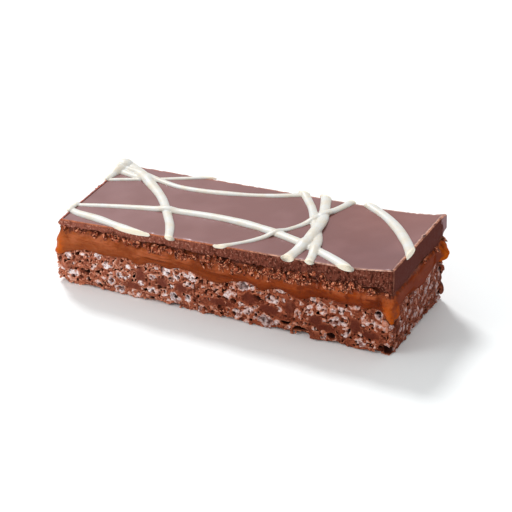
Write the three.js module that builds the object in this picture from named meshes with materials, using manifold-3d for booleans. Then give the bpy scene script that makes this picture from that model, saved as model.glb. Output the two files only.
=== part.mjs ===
// A cut bar of caramel crispy cake: a base of crisped rice in milk chocolate, a layer of
// soft caramel, a slab of milk chocolate and a drizzle of white chocolate set on top.
// Millimetres. +X runs along the bar, +Y to its back, +Z up. The origin is on the surface
// that the bar lies on, under its middle.

import * as THREE from 'three';
import { mergeVertices } from 'three/addons/utils/BufferGeometryUtils.js';
import Module from 'manifold-3d';

const wasm = await Module();
wasm.setup();

// The whole bar
const LENGTH = 103.2;
const WIDTH_LEFT = 39.9;
const WIDTH_RIGHT = 37.4;
const HEIGHT_LEFT = 20.3;
const HEIGHT_RIGHT = 25.6;
const END_CURL = 1.5; // how far the right end's top curls up above a straight line
const END_CURL_RUN = 18.6; // the stretch over which it curls
const CORNER_RADIUS = 0.7;

// Points round a layer's outline
const LONG_STEPS = 64;
const SHORT_STEPS = 24;

// Where one layer meets the next: heights at the left and the right end, away from the sides
const BASE_TOP_LEFT = 12.4;
const BASE_TOP_RIGHT = 14.9;
const SLAB_BOTTOM_LEFT = 18.3;
const SLAB_BOTTOM_RIGHT = 19.8;
const LAYER_GAP = 0.3;
const SEAM_INSET = 4; // how far in from the cut faces a seam keeps its ripples

// Crisped rice in the cut faces of the base
const BASE_ROWS = 8;
const KERNEL_LENGTH = 5.4;
const KERNEL_WIDTH = 2.9;
const KERNEL_SWELL = 0.8; // how far a kernel's middle stands out past its rim
const KERNEL_RIM = -0.25; // where the rims lie, out from the cut face
const PIT_DEPTH = 0.9;
const CRUMBLED_EDGE = 0.7;

// The caramel's rounded flank
const CARAMEL_ROWS = 4;
const CARAMEL_SWELL = 0.45;

// The chocolate slab
const SLAB_EDGE = 0.35;
const SAW_RIPPLE = 0.12;

// The drizzle: a strand stands up by this share of its width and is sunk in by SUNK
const STRAND_RISE = 0.34;
const STRAND_SUNK = 0.5;
const STRAND_STEP = 3;
const STRAND_TIP = 0.55; // a tip's width as a share of the strand's
const STRAND_LIFT = 0.02; // each strand lies a little higher than the one before it
const EDGE_ROUND = 0.4; // a strand starts to bend down this far in from the slab's edge
const EDGE_FALL = 1.1; // and drops this much for each millimetre out

const RICE_SEED = 41;
const SEAM_SEED = 7;

function seededRandom(seed) {
  let state = seed;
  return () => {
    state = (state + 0x6d2b79f5) | 0;
    let mixed = Math.imul(state ^ (state >>> 15), 1 | state);
    mixed = (mixed + Math.imul(mixed ^ (mixed >>> 7), 61 | mixed)) ^ mixed;
    return ((mixed ^ (mixed >>> 14)) >>> 0) / 4294967296;
  };
}

function between(random, low, high) {
  return low + (high - low) * random();
}

function alongBar(x, left, right) {
  return left + (right - left) * (x / LENGTH + 0.5);
}

function widthAt(x) {
  return alongBar(x, WIDTH_LEFT, WIDTH_RIGHT);
}

function topAt(x) {
  const curl = Math.max(0, (x - LENGTH / 2 + END_CURL_RUN) / END_CURL_RUN);
  return alongBar(x, HEIGHT_LEFT, HEIGHT_RIGHT) + END_CURL * curl * curl;
}

// The outline is walked from the front left corner: front, right end, back, left end.
// Each stop has its side, how far along that side it is, its place and the way out of the bar.
const SIDES = ['front', 'right', 'back', 'left'];

function outlineStops() {
  const corners = [
    [-LENGTH / 2, -WIDTH_LEFT / 2],
    [LENGTH / 2, -WIDTH_RIGHT / 2],
    [LENGTH / 2, WIDTH_RIGHT / 2],
    [-LENGTH / 2, WIDTH_LEFT / 2],
  ];
  const stops = [];
  SIDES.forEach((side, number) => {
    const from = new THREE.Vector2(...corners[number]);
    const to = new THREE.Vector2(...corners[(number + 1) % 4]);
    const run = to.clone().sub(from);
    const out = new THREE.Vector2(run.y, -run.x).normalize();
    const steps = number % 2 === 0 ? LONG_STEPS : SHORT_STEPS;
    for (let i = 0; i < steps; i += 1) {
      const place = from.clone().addScaledVector(run, i / steps);
      const along = side === 'front' || side === 'back' ? place.x : place.y;
      stops.push({ side, along, place, out });
    }
  });
  stops.forEach((stop, i) => {
    const before = stops[(i + stops.length - 1) % stops.length];
    if (before.side !== stop.side) {
      stop.out = stop.out.clone().add(before.out).normalize();
      stop.place = stop.place.clone().addScaledVector(stop.out, -CORNER_RADIUS / 2);
    }
  });
  return stops;
}

const stops = outlineStops();
const COUNT = stops.length;

// A seam dips where the layer above has run down. Each dip is [where, depth, half width].
const CARAMEL_RUNS = {
  front: [
    [-51.6, 2.3, 5],
    [-37, 0.8, 5],
    [-26.2, 1.6, 2.4],
    [-17, 0.9, 2],
    [-2.2, 2.2, 5.2],
    [12.2, 1.8, 2.6],
    [23.6, 1.9, 4],
    [38, 0.7, 4],
    [51.6, 3.9, 1.9],
  ],
  right: [
    [-18.7, 3.9, 1.7],
    [2.5, 2.1, 6],
    [17, 1.6, 2.5],
  ],
  back: unseenDips(seededRandom(SEAM_SEED), LENGTH / 2),
  left: [
    [-19.9, 2.3, 5],
    [4, 1.4, 5],
    [19, 1, 3],
  ],
};

function unseenDips(random, reach) {
  const dips = [];
  for (let at = -reach + 4; at < reach; at += between(random, 9, 14)) {
    dips.push([at, between(random, 0.6, 2.2), between(random, 2.2, 5)]);
  }
  return dips;
}

function dipAt(stop) {
  let dip = 0;
  for (const [where, depth, half] of CARAMEL_RUNS[stop.side]) {
    const off = (stop.along - where) / half;
    dip = Math.max(dip, depth * Math.exp(-off * off));
  }
  return dip;
}

function baseTopPlain(x) {
  return alongBar(x, BASE_TOP_LEFT, BASE_TOP_RIGHT);
}

function slabBottomPlain(x) {
  return alongBar(x, SLAB_BOTTOM_LEFT, SLAB_BOTTOM_RIGHT);
}

function slabBottomEdge(stop) {
  return slabBottomPlain(stop.place.x) + 0.3 * Math.sin(stop.along * 0.31 + 1.1);
}

// One ring of points round the bar: out moves a stop away from the bar, high gives its height
function ringOf(out, high) {
  const points = stops.map((stop) => {
    const flat = stop.place.clone().addScaledVector(stop.out, out(stop));
    return new THREE.Vector3(flat.x, flat.y, high(stop, flat));
  });
  return { points, inner: false };
}

// The ring where a seam's ripples have died out, SEAM_INSET in from the cut faces
function insetRing(plain, lift) {
  const points = stops.map(({ place }) => {
    const x = place.x * (1 - (2 * SEAM_INSET) / LENGTH);
    const y = place.y * (1 - (2 * SEAM_INSET) / widthAt(place.x));
    return new THREE.Vector3(x, y, plain(x) + lift);
  });
  return { points, inner: true };
}

// A ring's inside is closed by rungs from its front to its back, with a fan at each end
function capTriangles(start, up) {
  const front = (i) => start + i;
  const back = (i) => start + LONG_STEPS + SHORT_STEPS + (LONG_STEPS - i);
  const triangles = [];
  const add = (a, b, c) => triangles.push(up ? [a, b, c] : [a, c, b]);
  for (let i = 1; i < LONG_STEPS - 1; i += 1) {
    add(front(i), front(i + 1), back(i + 1));
    add(front(i), back(i + 1), back(i));
  }
  const rightEnd = start + LONG_STEPS;
  for (let i = 0; i < SHORT_STEPS; i += 1) {
    add(front(LONG_STEPS - 1), rightEnd + i, rightEnd + i + 1);
  }
  add(front(LONG_STEPS - 1), rightEnd + SHORT_STEPS, back(LONG_STEPS - 1));
  const leftEnd = start + 2 * LONG_STEPS + SHORT_STEPS;
  for (let i = 0; i < SHORT_STEPS; i += 1) {
    const next = i === SHORT_STEPS - 1 ? start : leftEnd + i + 1;
    add(front(1), leftEnd + i, next);
  }
  add(front(1), back(1), leftEnd);
  return triangles;
}

// A layer is a stack of rings from its underside to its top. Next to an inner ring the
// quads are split the same way from above and below, so that two layers meet evenly.
function layerGeometry(rings) {
  const positions = [];
  const triangles = [];
  rings.forEach((ring) => ring.points.forEach((point) => positions.push(...point.toArray())));
  triangles.push(...capTriangles(0, false));
  for (let row = 0; row + 1 < rings.length; row += 1) {
    const lower = row * COUNT;
    const upper = lower + COUNT;
    for (let i = 0; i < COUNT; i += 1) {
      const next = (i + 1) % COUNT;
      if (rings[row].inner) {
        triangles.push([lower + i, lower + next, upper + i]);
        triangles.push([lower + next, upper + next, upper + i]);
      } else {
        triangles.push([lower + i, lower + next, upper + next]);
        triangles.push([lower + i, upper + next, upper + i]);
      }
    }
  }
  triangles.push(...capTriangles((rings.length - 1) * COUNT, true));
  const geometry = new THREE.BufferGeometry();
  geometry.setAttribute('position', new THREE.Float32BufferAttribute(positions, 3));
  geometry.setIndex(triangles.flat());
  return geometry;
}

// Kernels lie at random in each cut face, one to each patch of its own size
function scatterKernels(random, reach) {
  const kernels = [];
  for (let at = -reach; at <= reach; at += KERNEL_LENGTH * 0.72) {
    for (let high = 0; high < BASE_TOP_RIGHT; high += KERNEL_WIDTH * 0.95) {
      const size = between(random, 0.8, 1.2);
      kernels.push({
        at: at + between(random, -2, 2),
        high: high + between(random, -1, 1),
        turn: between(random, 0, Math.PI),
        long: (KERNEL_LENGTH / 2) * size,
        wide: (KERNEL_WIDTH / 2) * size,
        proud: between(random, -0.4, 0.15),
      });
    }
  }
  return kernels;
}

const rice = seededRandom(RICE_SEED);
const KERNELS = {};
SIDES.forEach((side, number) => {
  KERNELS[side] = scatterKernels(rice, number % 2 === 0 ? LENGTH / 2 : WIDTH_LEFT / 2);
});

function riceRelief(stop, high) {
  let relief = -PIT_DEPTH;
  for (const kernel of KERNELS[stop.side]) {
    const off = new THREE.Vector2(stop.along - kernel.at, high - kernel.high);
    off.rotateAround(new THREE.Vector2(), -kernel.turn);
    const away = (off.x / kernel.long) ** 2 + (off.y / kernel.wide) ** 2;
    if (away < 1) {
      relief = Math.max(relief, KERNEL_RIM + kernel.proud + KERNEL_SWELL * Math.sqrt(1 - away));
    }
  }
  return relief;
}

function crispyBase() {
  const seam = (stop) => baseTopPlain(stop.place.x) - dipAt(stop) - LAYER_GAP / 2;
  const rings = [];
  for (let row = 0; row <= BASE_ROWS; row += 1) {
    const share = row / BASE_ROWS;
    const fade = row === BASE_ROWS ? 0 : 1;
    const crumbled = row === 0 ? CRUMBLED_EDGE : 0;
    const out = (stop) => fade * riceRelief(stop, seam(stop) * share) - crumbled;
    rings.push(ringOf(out, (stop) => seam(stop) * share));
  }
  rings.push(insetRing(baseTopPlain, -LAYER_GAP / 2));
  return layerGeometry(rings);
}

// Caramel that has pushed out past the cut faces: [side, where, how far, half width]
const CARAMEL_LIPS = [
  ['left', -17, 0.9, 4],
  ['front', -51.6, 0.5, 2.5],
  ['front', 51.6, 0.6, 2.6],
  ['right', -18.7, 0.6, 2.2],
  ['right', 15.2, 0.9, 2.8],
];

function lipAt(stop) {
  let lip = 0;
  for (const [side, where, far, half] of CARAMEL_LIPS) {
    if (side === stop.side) {
      const off = (stop.along - where) / half;
      lip = Math.max(lip, far * Math.exp(-off * off));
    }
  }
  return lip;
}

function caramelLayer() {
  const under = (stop) => baseTopPlain(stop.place.x) - dipAt(stop) + LAYER_GAP / 2;
  const over = (stop) => slabBottomEdge(stop) - LAYER_GAP / 2;
  const rings = [insetRing(baseTopPlain, LAYER_GAP / 2)];
  for (let row = 0; row <= CARAMEL_ROWS; row += 1) {
    const share = row / CARAMEL_ROWS;
    const round = Math.sin(Math.PI * Math.min(1, share * 1.15));
    const waver = (stop) => 0.15 * Math.sin(stop.along * 0.83 + row);
    const out = (stop) => Math.max(0, round) * (CARAMEL_SWELL + waver(stop) + lipAt(stop));
    rings.push(ringOf(out, (stop) => under(stop) + (over(stop) - under(stop)) * share));
  }
  rings.push(insetRing(slabBottomPlain, -LAYER_GAP / 2));
  return layerGeometry(rings);
}

function chocolateSlab() {
  const under = (stop) => slabBottomEdge(stop) + LAYER_GAP / 2;
  const sawn = (stop) => SAW_RIPPLE * Math.sin(stop.along * 0.6) - SAW_RIPPLE;
  const rings = [insetRing(slabBottomPlain, LAYER_GAP / 2)];
  rings.push(ringOf(() => 0, under));
  rings.push(ringOf(sawn, (stop, flat) => (under(stop) + topAt(flat.x)) / 2));
  rings.push(ringOf(() => 0, (stop, flat) => topAt(flat.x) - SLAB_EDGE));
  rings.push(ringOf(() => -SLAB_EDGE, (stop, flat) => topAt(flat.x)));
  return layerGeometry(rings);
}

// The drizzle was swung to and fro over the sheet before it was cut, so each strand runs
// from edge to edge in a slack curve. Each stop on its route is [x, y, the strand's width].
const DRIZZLE = [
  [[-50.8, 8.2, 1.5], [-47, 9.8, 1.7], [-35, 14.6, 1.6], [-24, 19.4, 1.7]],
  [[-49.8, 14.8, 3], [-45.5, 13.4, 2.6], [-40, 12, 1.8]],
  [
    [-49.6, 18.2, 3.6], [-45, 15.8, 4.1], [-39.5, 11.8, 3.7], [-30, 2.5, 3],
    [-22.4, -8.3, 2.8], [-19, -13.9, 2.7], [-16.3, -19.9, 2.5],
  ],
  [[-49.5, 16.6, 2], [-35.3, 12.6, 2.2], [-21, 10.9, 2.3], [-6.8, 13.3, 1.9], [7, 18.4, 2.2]],
  [
    [-51.2, -10, 1.8], [-28.9, -4.7, 2.6], [-5.9, -3.4, 3.1], [16.6, -8.4, 3.3],
    [27.3, -12.9, 3.3], [37.2, -19.3, 3.5],
  ],
  [[7.4, 19.4, 2.9], [14.3, 10.4, 2.7], [19.8, 0.5, 3.1], [23.6, -7.1, 3.2], [26.6, -19.6, 2.7]],
  [[14.2, 19.4, 3.3], [20.1, 3.7, 3.4], [21.1, -8, 3.8], [19.9, -19.8, 3.5]],
  [
    [22.7, 19, 2.7], [20.8, 13.5, 2.5], [16.6, 3.2, 2.1], [13.6, -1.9, 1.7],
    [7.5, -11.4, 1.9], [-0.8, -19.7, 2.1],
  ],
  [[28.2, 18.8, 3.2], [35.8, 13.5, 3.1], [42.2, 6.8, 3.3], [47.7, -0.7, 3.3], [51.4, -7.4, 3.4]],
  [[-50.9, -13.6, 2.4], [-47.7, -14.8, 2.9], [-41.4, -16, 3.2], [-35.2, -17.6, 3], [-27, -19.5, 2.6]],
  [[-50.7, 8.2, 1.6], [-50.3, 11.5, 2.6], [-49.8, 14.5, 3.4], [-49.2, 17.6, 4]],
];

// A strand's section, from one side over its crown to the other side, then underneath
function strandSection(width) {
  const half = width / 2;
  const rise = width * STRAND_RISE;
  const section = [];
  for (let i = 0; i <= 4; i += 1) {
    const angle = (Math.PI * i) / 4;
    section.push([half * Math.cos(angle), rise * Math.sin(angle)]);
  }
  section.push([-half * 0.8, -STRAND_SUNK], [half * 0.8, -STRAND_SUNK]);
  return section;
}

// The height that a strand lies at: the slab's top, bending down past its long edges
function strandBed(x, y, order) {
  const past = Math.max(0, Math.abs(y) - widthAt(x) / 2 + EDGE_ROUND);
  return topAt(x) - past * EDGE_FALL + order * STRAND_LIFT;
}

function strandGeometry(route, order) {
  const curve = new THREE.CatmullRomCurve3(route.map((stop) => new THREE.Vector3(...stop)));
  const steps = Math.round(curve.getLength() / STRAND_STEP);
  const up = new THREE.Vector3(0, 0, 1);
  const positions = [];
  for (let i = 0; i <= steps; i += 1) {
    const share = i / steps;
    const rounded = i === 0 || i === steps ? STRAND_TIP : 1;
    const centre = curve.getPointAt(share);
    const width = centre.z * rounded;
    const side = new THREE.Vector3().crossVectors(curve.getTangentAt(share), up).normalize();
    for (const [across, high] of strandSection(width)) {
      const point = centre.clone().addScaledVector(side, across);
      positions.push(point.x, point.y, strandBed(centre.x, centre.y, order) + high);
    }
  }
  const around = strandSection(1).length;
  const triangles = [];
  for (let i = 1; i + 1 < around; i += 1) {
    const last = steps * around;
    triangles.push([0, i, i + 1]);
    triangles.push([last, last + i + 1, last + i]);
  }
  for (let i = 0; i < steps; i += 1) {
    for (let j = 0; j < around; j += 1) {
      const here = i * around + j;
      const beside = i * around + ((j + 1) % around);
      triangles.push([here, beside + around, beside]);
      triangles.push([here, here + around, beside + around]);
    }
  }
  const geometry = new THREE.BufferGeometry();
  geometry.setAttribute('position', new THREE.Float32BufferAttribute(positions, 3));
  geometry.setIndex(triangles.flat());
  return geometry;
}

function toSolid(geometry) {
  const merged = mergeVertices(geometry);
  const vertProperties = new Float32Array(merged.getAttribute('position').array);
  const triVerts = new Uint32Array(merged.getIndex().array);
  return new wasm.Manifold(new wasm.Mesh({ numProp: 3, vertProperties, triVerts }));
}

function toGeometry(solid) {
  const mesh = solid.getMesh();
  const geometry = new THREE.BufferGeometry();
  geometry.setAttribute('position', new THREE.BufferAttribute(mesh.vertProperties, 3));
  geometry.setIndex(new THREE.BufferAttribute(mesh.triVerts, 1));
  return geometry;
}

function chocolateTop() {
  let top = toSolid(chocolateSlab());
  DRIZZLE.forEach((strand, order) => {
    top = top.add(toSolid(strandGeometry(strand, order)));
  });
  return toGeometry(top);
}

function piece(name, geometry, color, roughness) {
  const material = new THREE.MeshStandardMaterial({ color, roughness, metalness: 0 });
  const mesh = new THREE.Mesh(geometry, material);
  mesh.name = name;
  return mesh;
}

const bar = new THREE.Group();
bar.add(piece('crispy_base', crispyBase(), 0x6b4034, 0.8));
bar.add(piece('caramel_layer', caramelLayer(), 0xa4552b, 0.35));
bar.add(piece('chocolate_top', chocolateTop(), 0x70493f, 0.5));

export default bar;
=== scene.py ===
import functools
import math

import bmesh
import bpy
import numpy as np
import openvdb
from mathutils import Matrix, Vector


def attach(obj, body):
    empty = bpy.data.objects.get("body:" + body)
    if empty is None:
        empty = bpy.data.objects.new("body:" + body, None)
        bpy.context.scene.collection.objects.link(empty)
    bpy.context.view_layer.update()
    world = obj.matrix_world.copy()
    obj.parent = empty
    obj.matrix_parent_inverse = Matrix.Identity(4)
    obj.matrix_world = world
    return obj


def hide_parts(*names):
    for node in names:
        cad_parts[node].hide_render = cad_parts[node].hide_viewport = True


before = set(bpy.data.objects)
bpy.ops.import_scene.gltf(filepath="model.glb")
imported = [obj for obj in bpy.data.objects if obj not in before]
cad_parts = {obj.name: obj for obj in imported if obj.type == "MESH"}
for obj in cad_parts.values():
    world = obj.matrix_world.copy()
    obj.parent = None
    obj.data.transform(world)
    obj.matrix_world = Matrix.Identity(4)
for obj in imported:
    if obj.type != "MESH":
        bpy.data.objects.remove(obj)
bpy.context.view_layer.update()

# --------------------------------------------------------------------------------------
# The crispy base: crisped rice stirred into melted milk chocolate and pressed into a wide
# tray. The knife that cut the bar out opened some kernels, so their pale foam shows, tore
# others out, and left the chocolate between them crumbly, with smooth pools here and there.

# The bar in millimetres, with +X along it towards its thicker end
MM = 0.001
BAR_LENGTH = 103.2
WIDTH_LEFT = 39.9
WIDTH_RIGHT = 37.4
BASE_TOP_LEFT = 12.4
BASE_TOP_RIGHT = 14.9
SEAM_INSET = 4.0  # how far in from a cut face the caramel's runs reach

# Where the caramel has run down over the base: how far along the side, depth, half width
CARAMEL_RUNS = {
    "front": [
        (-51.6, 2.3, 5), (-37, 0.8, 5), (-26.2, 1.6, 2.4), (-17, 0.9, 2), (-2.2, 2.2, 5.2),
        (12.2, 1.8, 2.6), (23.6, 1.9, 4), (38, 0.7, 4), (43.5, 0.9, 1.6), (51.4, 4.2, 2.6),
    ],
    "right": [(-18.7, 4.2, 1.5), (2.5, 2.1, 6), (17, 1.6, 2.5)],
    "back": [(-46, 1.2, 3), (-33, 1.9, 4.2), (-21, 0.9, 2.6), (-8, 2.0, 4.6), (6, 1.1, 3),
             (19, 1.8, 3.8), (32, 0.8, 3), (44, 1.7, 4)],
    "left": [(-19.9, 2.3, 5), (4, 1.4, 5), (19, 1.0, 3)],
}


def along_bar(x, left, right):
    return left + (right - left) * (x / BAR_LENGTH + 0.5)


def width_at(x):
    return along_bar(x, WIDTH_LEFT, WIDTH_RIGHT)


def hump(away, half):
    """A smooth hump: 1 in its middle, falling to about a third at half its width."""
    return np.exp(-((away / half) ** 2))


def run_depth(side, along):
    """How far the caramel has run down at a place along one side of the bar."""
    depth = np.zeros(np.shape(along))
    for where, deep, half in CARAMEL_RUNS[side]:
        depth = np.maximum(depth, deep * hump(along - where, half))
    return depth


def depth_from(side, x, y):
    """How far inside the bar a place is, measured from one of its sides."""
    if side == "front":
        return y + width_at(x) / 2
    if side == "back":
        return width_at(x) / 2 - y
    return BAR_LENGTH / 2 + (x if side == "left" else -x)


def base_top(x, y):
    """Height of the seam between the base and the caramel, rippled near the cut faces."""
    dip = 0
    for side in CARAMEL_RUNS:
        along = x if side in ("front", "back") else y
        fade = np.clip(1 - depth_from(side, x, y) / SEAM_INSET, 0, 1)
        dip = np.maximum(dip, run_depth(side, along) * fade)
    return along_bar(x, BASE_TOP_LEFT, BASE_TOP_RIGHT) - dip


LATTICE = 61
LATTICE_SHIFT = 977  # keeps the places that mottle looks up above zero


@functools.lru_cache
def random_lattice(seed):
    return np.random.default_rng(seed).uniform(-1, 1, (LATTICE,) * 3).astype(np.float32)


def mottle(x, y, z, size, seed):
    """Smooth random values from -1 to 1 that change over about size millimetres."""
    lattice = random_lattice(seed)
    low, part = [], []
    for place in (x, y, z):
        steps = np.asarray(place, np.float32) / np.float32(size) + LATTICE_SHIFT
        floor = np.floor(steps)
        share = steps - floor
        low.append(floor.astype(np.int32))
        part.append(share * share * (3 - 2 * share))
    total = 0
    for corner in range(8):
        weight, index = 1, []
        for axis in range(3):
            up = corner >> axis & 1
            index.append((low[axis] + up) % LATTICE)
            weight = weight * (part[axis] if up else 1 - part[axis])
        total = total + weight * lattice[tuple(index)]
    return total


# The small cubes on which the base is worked out: their size, the first one and how many
CELL = 0.22
GRID_LOW = np.array((-55.1, -21.6, -0.66))
GRID_COUNT = (497, 197, 76)
FAR = 3 * CELL  # distances are kept up to this
CORE_DEPTH = 2  # what lies this deep is core, and what doesn't hang on it is dropped
JOIN_STEPS = 16  # how many cubes out from the core the solid is followed
EDGE_REACH, HOLLOW_REACH, CAVE_REACH = 1, 3, 7  # how far round a point it is judged, in cubes
BASE_SEED = 5
CRUMB_TRIANGLES = 195000
RICE_TRIANGLES = 190000

BASE_HEIGHT = 13  # about how high a cut face is, which sets how many crumbs and pits it gets
BLOCK_ROUND = 0.8
# The random fill stops this far short of a side's ends; the right end counts as wide as the left
CORNER_MARGIN = 0.5
LEFT_BULGE = 1.8  # how far the left end's crumb stands out past the knife's cut
UNDERSIDE = 0.05
# Bites out of the front face's lower edge, left of WHOLE_FOOT: along, height, half width
WHOLE_FOOT = 45.5
LOWER_BITES = [
    (-51.5, 1.1, 1.6), (-43, 0.5, 1.4), (-14.6, 1.2, 1.9), (1.5, 0.6, 2.2), (23.2, 1.3, 2.8),
    (34.6, 0.7, 1.3), (45, 0.5, 2),
]

# The random fill of kernels: tries for each millimetre of a side, smallest and largest size
FRONT_FILL = (16, 0.4, 0.75)
OTHER_FILL = (60, 0.6, 1.05)
KERNEL_HALF = (2.6, 1.4, 1.3)
KERNEL_SPACING = 1.15
POOL_CLEARANCE = 2.2
CUT_DEPTH = 0.8  # how deep the foam of a cut kernel shows
HOLLOW_DEPTH = 3
PITS_PER_AREA = 4
FOAM_PITS = [0.3, 0.42, 0.65]
# Loose crumbs and small pits all over the faces: how many to the square millimetre, their
# depth below the face and their radius, from least to most
CRUMBS_PER_MM2 = 0.25
CRUMB_DEPTHS = (0.3, 0.8)
CRUMB_RADII = (0.3, 0.6)
PITS_PER_MM2 = 0.5
PIT_DEPTHS = (0.0, 0.8)
PIT_RADII = (0.2, 0.6)
POOL_EDGE = 0.3  # they keep off a pool where its share is more than this
# The kernels and holes of kernels that show best in the front face:
# along, height, half length, half width, turn in degrees, and what the knife made of each
FRONT_KERNELS = [
    (-49.3, 8.8, 2.2, 1.1, 75, "cut"), (-47.6, 3.6, 2.0, 1.2, 10, "cut"),
    (-39.3, 10.8, 2.0, 1.3, 10, "cut"), (-36.4, 8.6, 2.0, 1.4, 30, "cut"),
    (-31.5, 6.6, 2.8, 1.6, 8, "cut"), (-35.2, 4.4, 1.8, 1.1, 80, "cut"),
    (-32.4, 1.9, 2.2, 1.5, 20, "hollow"), (-22, 8.2, 1.4, 0.9, 10, "cut"),
    (-18, 11.2, 1.9, 1.5, -10, "cut"), (-14.0, 11.6, 2.3, 1.8, 60, "cut"),
    (-9.8, 11.2, 2.5, 1.8, -35, "cut"), (-11, 8.4, 1.3, 1.1, 0, "cut"),
    (-22.4, 3.9, 2.6, 1.2, 0, "cut"), (-18.2, 3.9, 2.2, 1.1, -5, "cut"),
    (-14.9, 3.1, 1.9, 1.8, 0, "hollow"), (-27, 1.3, 2.2, 1.2, -10, "cut"),
    (-7, 1.4, 2.2, 1.3, 0, "cut"), (1.6, 7.8, 2.2, 1.2, 70, "cut"),
    (6.1, 11.9, 2.0, 1.8, 0, "hollow"), (8.9, 12.4, 1.5, 1.1, -40, "cut"),
    (8, 4.4, 2.0, 1.4, 20, "cut"), (4.6, 3, 2.3, 1.5, 60, "cut"),
    (13.3, 2.2, 3.2, 2.1, -8, "hollow"), (15.3, 9.6, 2.4, 1.5, 5, "cut"),
    (17.2, 7.1, 1.2, 1.0, 0, "cut"), (18, 12.8, 2.7, 1.1, 0, "cut"),
    (23, 6.6, 2.3, 1.3, 70, "cut"), (26.8, 9, 2.0, 1.3, 60, "cut"),
    (30.4, 10.8, 2.0, 1.6, -50, "cut"), (35.4, 11, 2.4, 1.4, 5, "cut"),
    (34.2, 7.2, 2.4, 1.6, 20, "cut"), (37, 8, 1.6, 1.5, 50, "cut"),
    (31, 2, 1.5, 1.1, 85, "cut"), (47.4, 12.6, 1.7, 1.2, 80, "hollow"),
    (44.8, 9.4, 2.4, 1.4, -5, "cut"), (43.2, 2.6, 2.9, 1.3, 0, "cut"),
    (37.6, 4.2, 2.0, 1.2, 60, "cut"),
]
# Where the knife tore whole clusters out of the front face: along, height, half length, half height
FRONT_HOLLOWS = [
    (50.1, 1.7, 1.8, 1.3), (33.4, 2.3, 1.1, 0.9), (19.4, 3.1, 1.2, 0.6), (23.6, 2.1, 1.9, 0.7),
    (-42.7, 2.6, 0.5, 0.9), (-38.9, 1.5, 0.7, 0.7), (-21.9, 1.2, 1.0, 0.5), (46.9, 12.6, 0.9, 0.5),
]
# Each is one deep pit with smaller ones strewn round it, astray by these shares of its size
HOLLOW_SCATTER = (0, 0.7, 0.7, 0.8, 0.8, 0.8)
# Lumps that stand out of the faces: side, along, depth of the middle, height, radius
LUMPS = [
    ("right", 17.2, 0.8, 10.6, 1.9), ("right", 17.0, 0.8, 4.0, 2.0), ("front", 29, 0.8, 1.7, 1.7),
    ("front", -49.5, 0.8, 6.5, 2.0), ("front", 6, 0.9, 9.6, 1.6),
]
# Smooth pools of chocolate in the front face: along, height, half length, half height
FRONT_POOLS = [
    (14.5, 6.4, 3.8, 1.5), (-0.8, 5, 4.6, 1.2), (31, 4.3, 3.2, 1.1), (45, 5.2, 3.2, 1.0),
    (-28.3, 3.8, 2.2, 1.1), (-26, 7.4, 1.5, 3.0), (-12.8, 6.8, 1.8, 1.8), (8.4, 8.3, 2.4, 1.9),
    (28.6, 6.4, 2.0, 1.8), (40.5, 7.3, 1.7, 2.4), (-19, 7, 2.0, 1.6), (20.6, 8.6, 1.4, 2.4),
]
# Each cut side: its way along and its way in
SIDE_WAYS = {
    "front": ((1, 0), (0, 1)), "back": ((1, 0), (0, -1)),
    "left": ((0, 1), (1, 0)), "right": ((0, 1), (-1, 0)),
}


def left_bulge(high):
    return LEFT_BULGE * np.clip(np.minimum(high, BASE_TOP_LEFT - high) / 1.5, 0, 1)


def side_place(side, along, deep, high):
    """A point in the bar, from how far along one side, how deep and how high it is."""
    if side in ("front", "back"):
        y = width_at(along) / 2 - deep
        return np.array((along, -y if side == "front" else y, high))
    x = BAR_LENGTH / 2 - deep
    return np.array((-x - left_bulge(high) if side == "left" else x, along, high))


def kernel_axes(side, turn, pitch):
    """A kernel's long, wide and deep directions: turned in the cut face, pitched into it."""
    run, inward = (np.array((*way, 0.0)) for way in SIDE_WAYS[side])
    up = np.array((0, 0, 1.0))
    long = run * math.cos(turn) + up * math.sin(turn)
    wide = -run * math.sin(turn) + up * math.cos(turn)
    tilted = long * math.cos(pitch) + inward * math.sin(pitch)
    return np.array((tilted, wide, np.cross(tilted, wide)))


def side_reach(side):
    return (BAR_LENGTH if side in ("front", "back") else WIDTH_LEFT) / 2 - CORNER_MARGIN


def along_side(side, along, left, right):
    """A height at a place on any side; an end takes the one at the bar's middle."""
    return along_bar(along if side in ("front", "back") else 0, left, right)


def rice_kernels(random):
    """Every kernel near a cut face: the listed ones first, then a random fill round them."""
    kernels = []

    def add(side, along, high, deep, half, turn, pitch, state, proud):
        kernels.append({
            "side": side, "deep": deep, "half": np.array(half), "state": state, "proud": proud,
            "centre": side_place(side, along, deep, high), "ways": kernel_axes(side, turn, pitch),
        })

    for along, high, half_long, half_wide, turn, state in FRONT_KERNELS:
        half = (half_long, half_wide, 0.5 + 0.75 * half_wide)
        add("front", along, high, 0.25, half, math.radians(turn), random.uniform(-0.2, 0.2), state, -0.1)
    pools = np.array([side_place("front", along, 0, high) for along, high, *_ in FRONT_POOLS])
    for side in SIDE_WAYS:
        tries, small, large = FRONT_FILL if side == "front" else OTHER_FILL
        for _ in range(int(side_reach(side) * tries)):
            along = random.uniform(-side_reach(side), side_reach(side))
            high = random.uniform(0.8, along_side(side, along, 12.0, 13.8))
            deep = random.uniform(-0.2, 1.2)
            centre = side_place(side, along, deep, high)
            half = np.array(KERNEL_HALF) * random.uniform(small, large)
            room = np.linalg.norm([other["centre"] - centre for other in kernels], axis=1)
            needed = half[1] + np.array([other["half"][1] for other in kernels])
            pool = np.linalg.norm(pools - centre, axis=1).min()
            if (room < KERNEL_SPACING * needed).any() or pool < POOL_CLEARANCE:
                continue
            state = random.choice(["cut", "hollow", "gone"], p=[0.8, 0.1, 0.1])
            turn = random.normal(0, 0.7) + (math.pi / 2 if side == "right" else 0)
            pitch, proud = random.uniform(-0.7, 0.7), random.uniform(-0.5, 0.0)
            add(side, along, high, deep, half, turn, pitch, state, proud)
    return kernels


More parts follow.
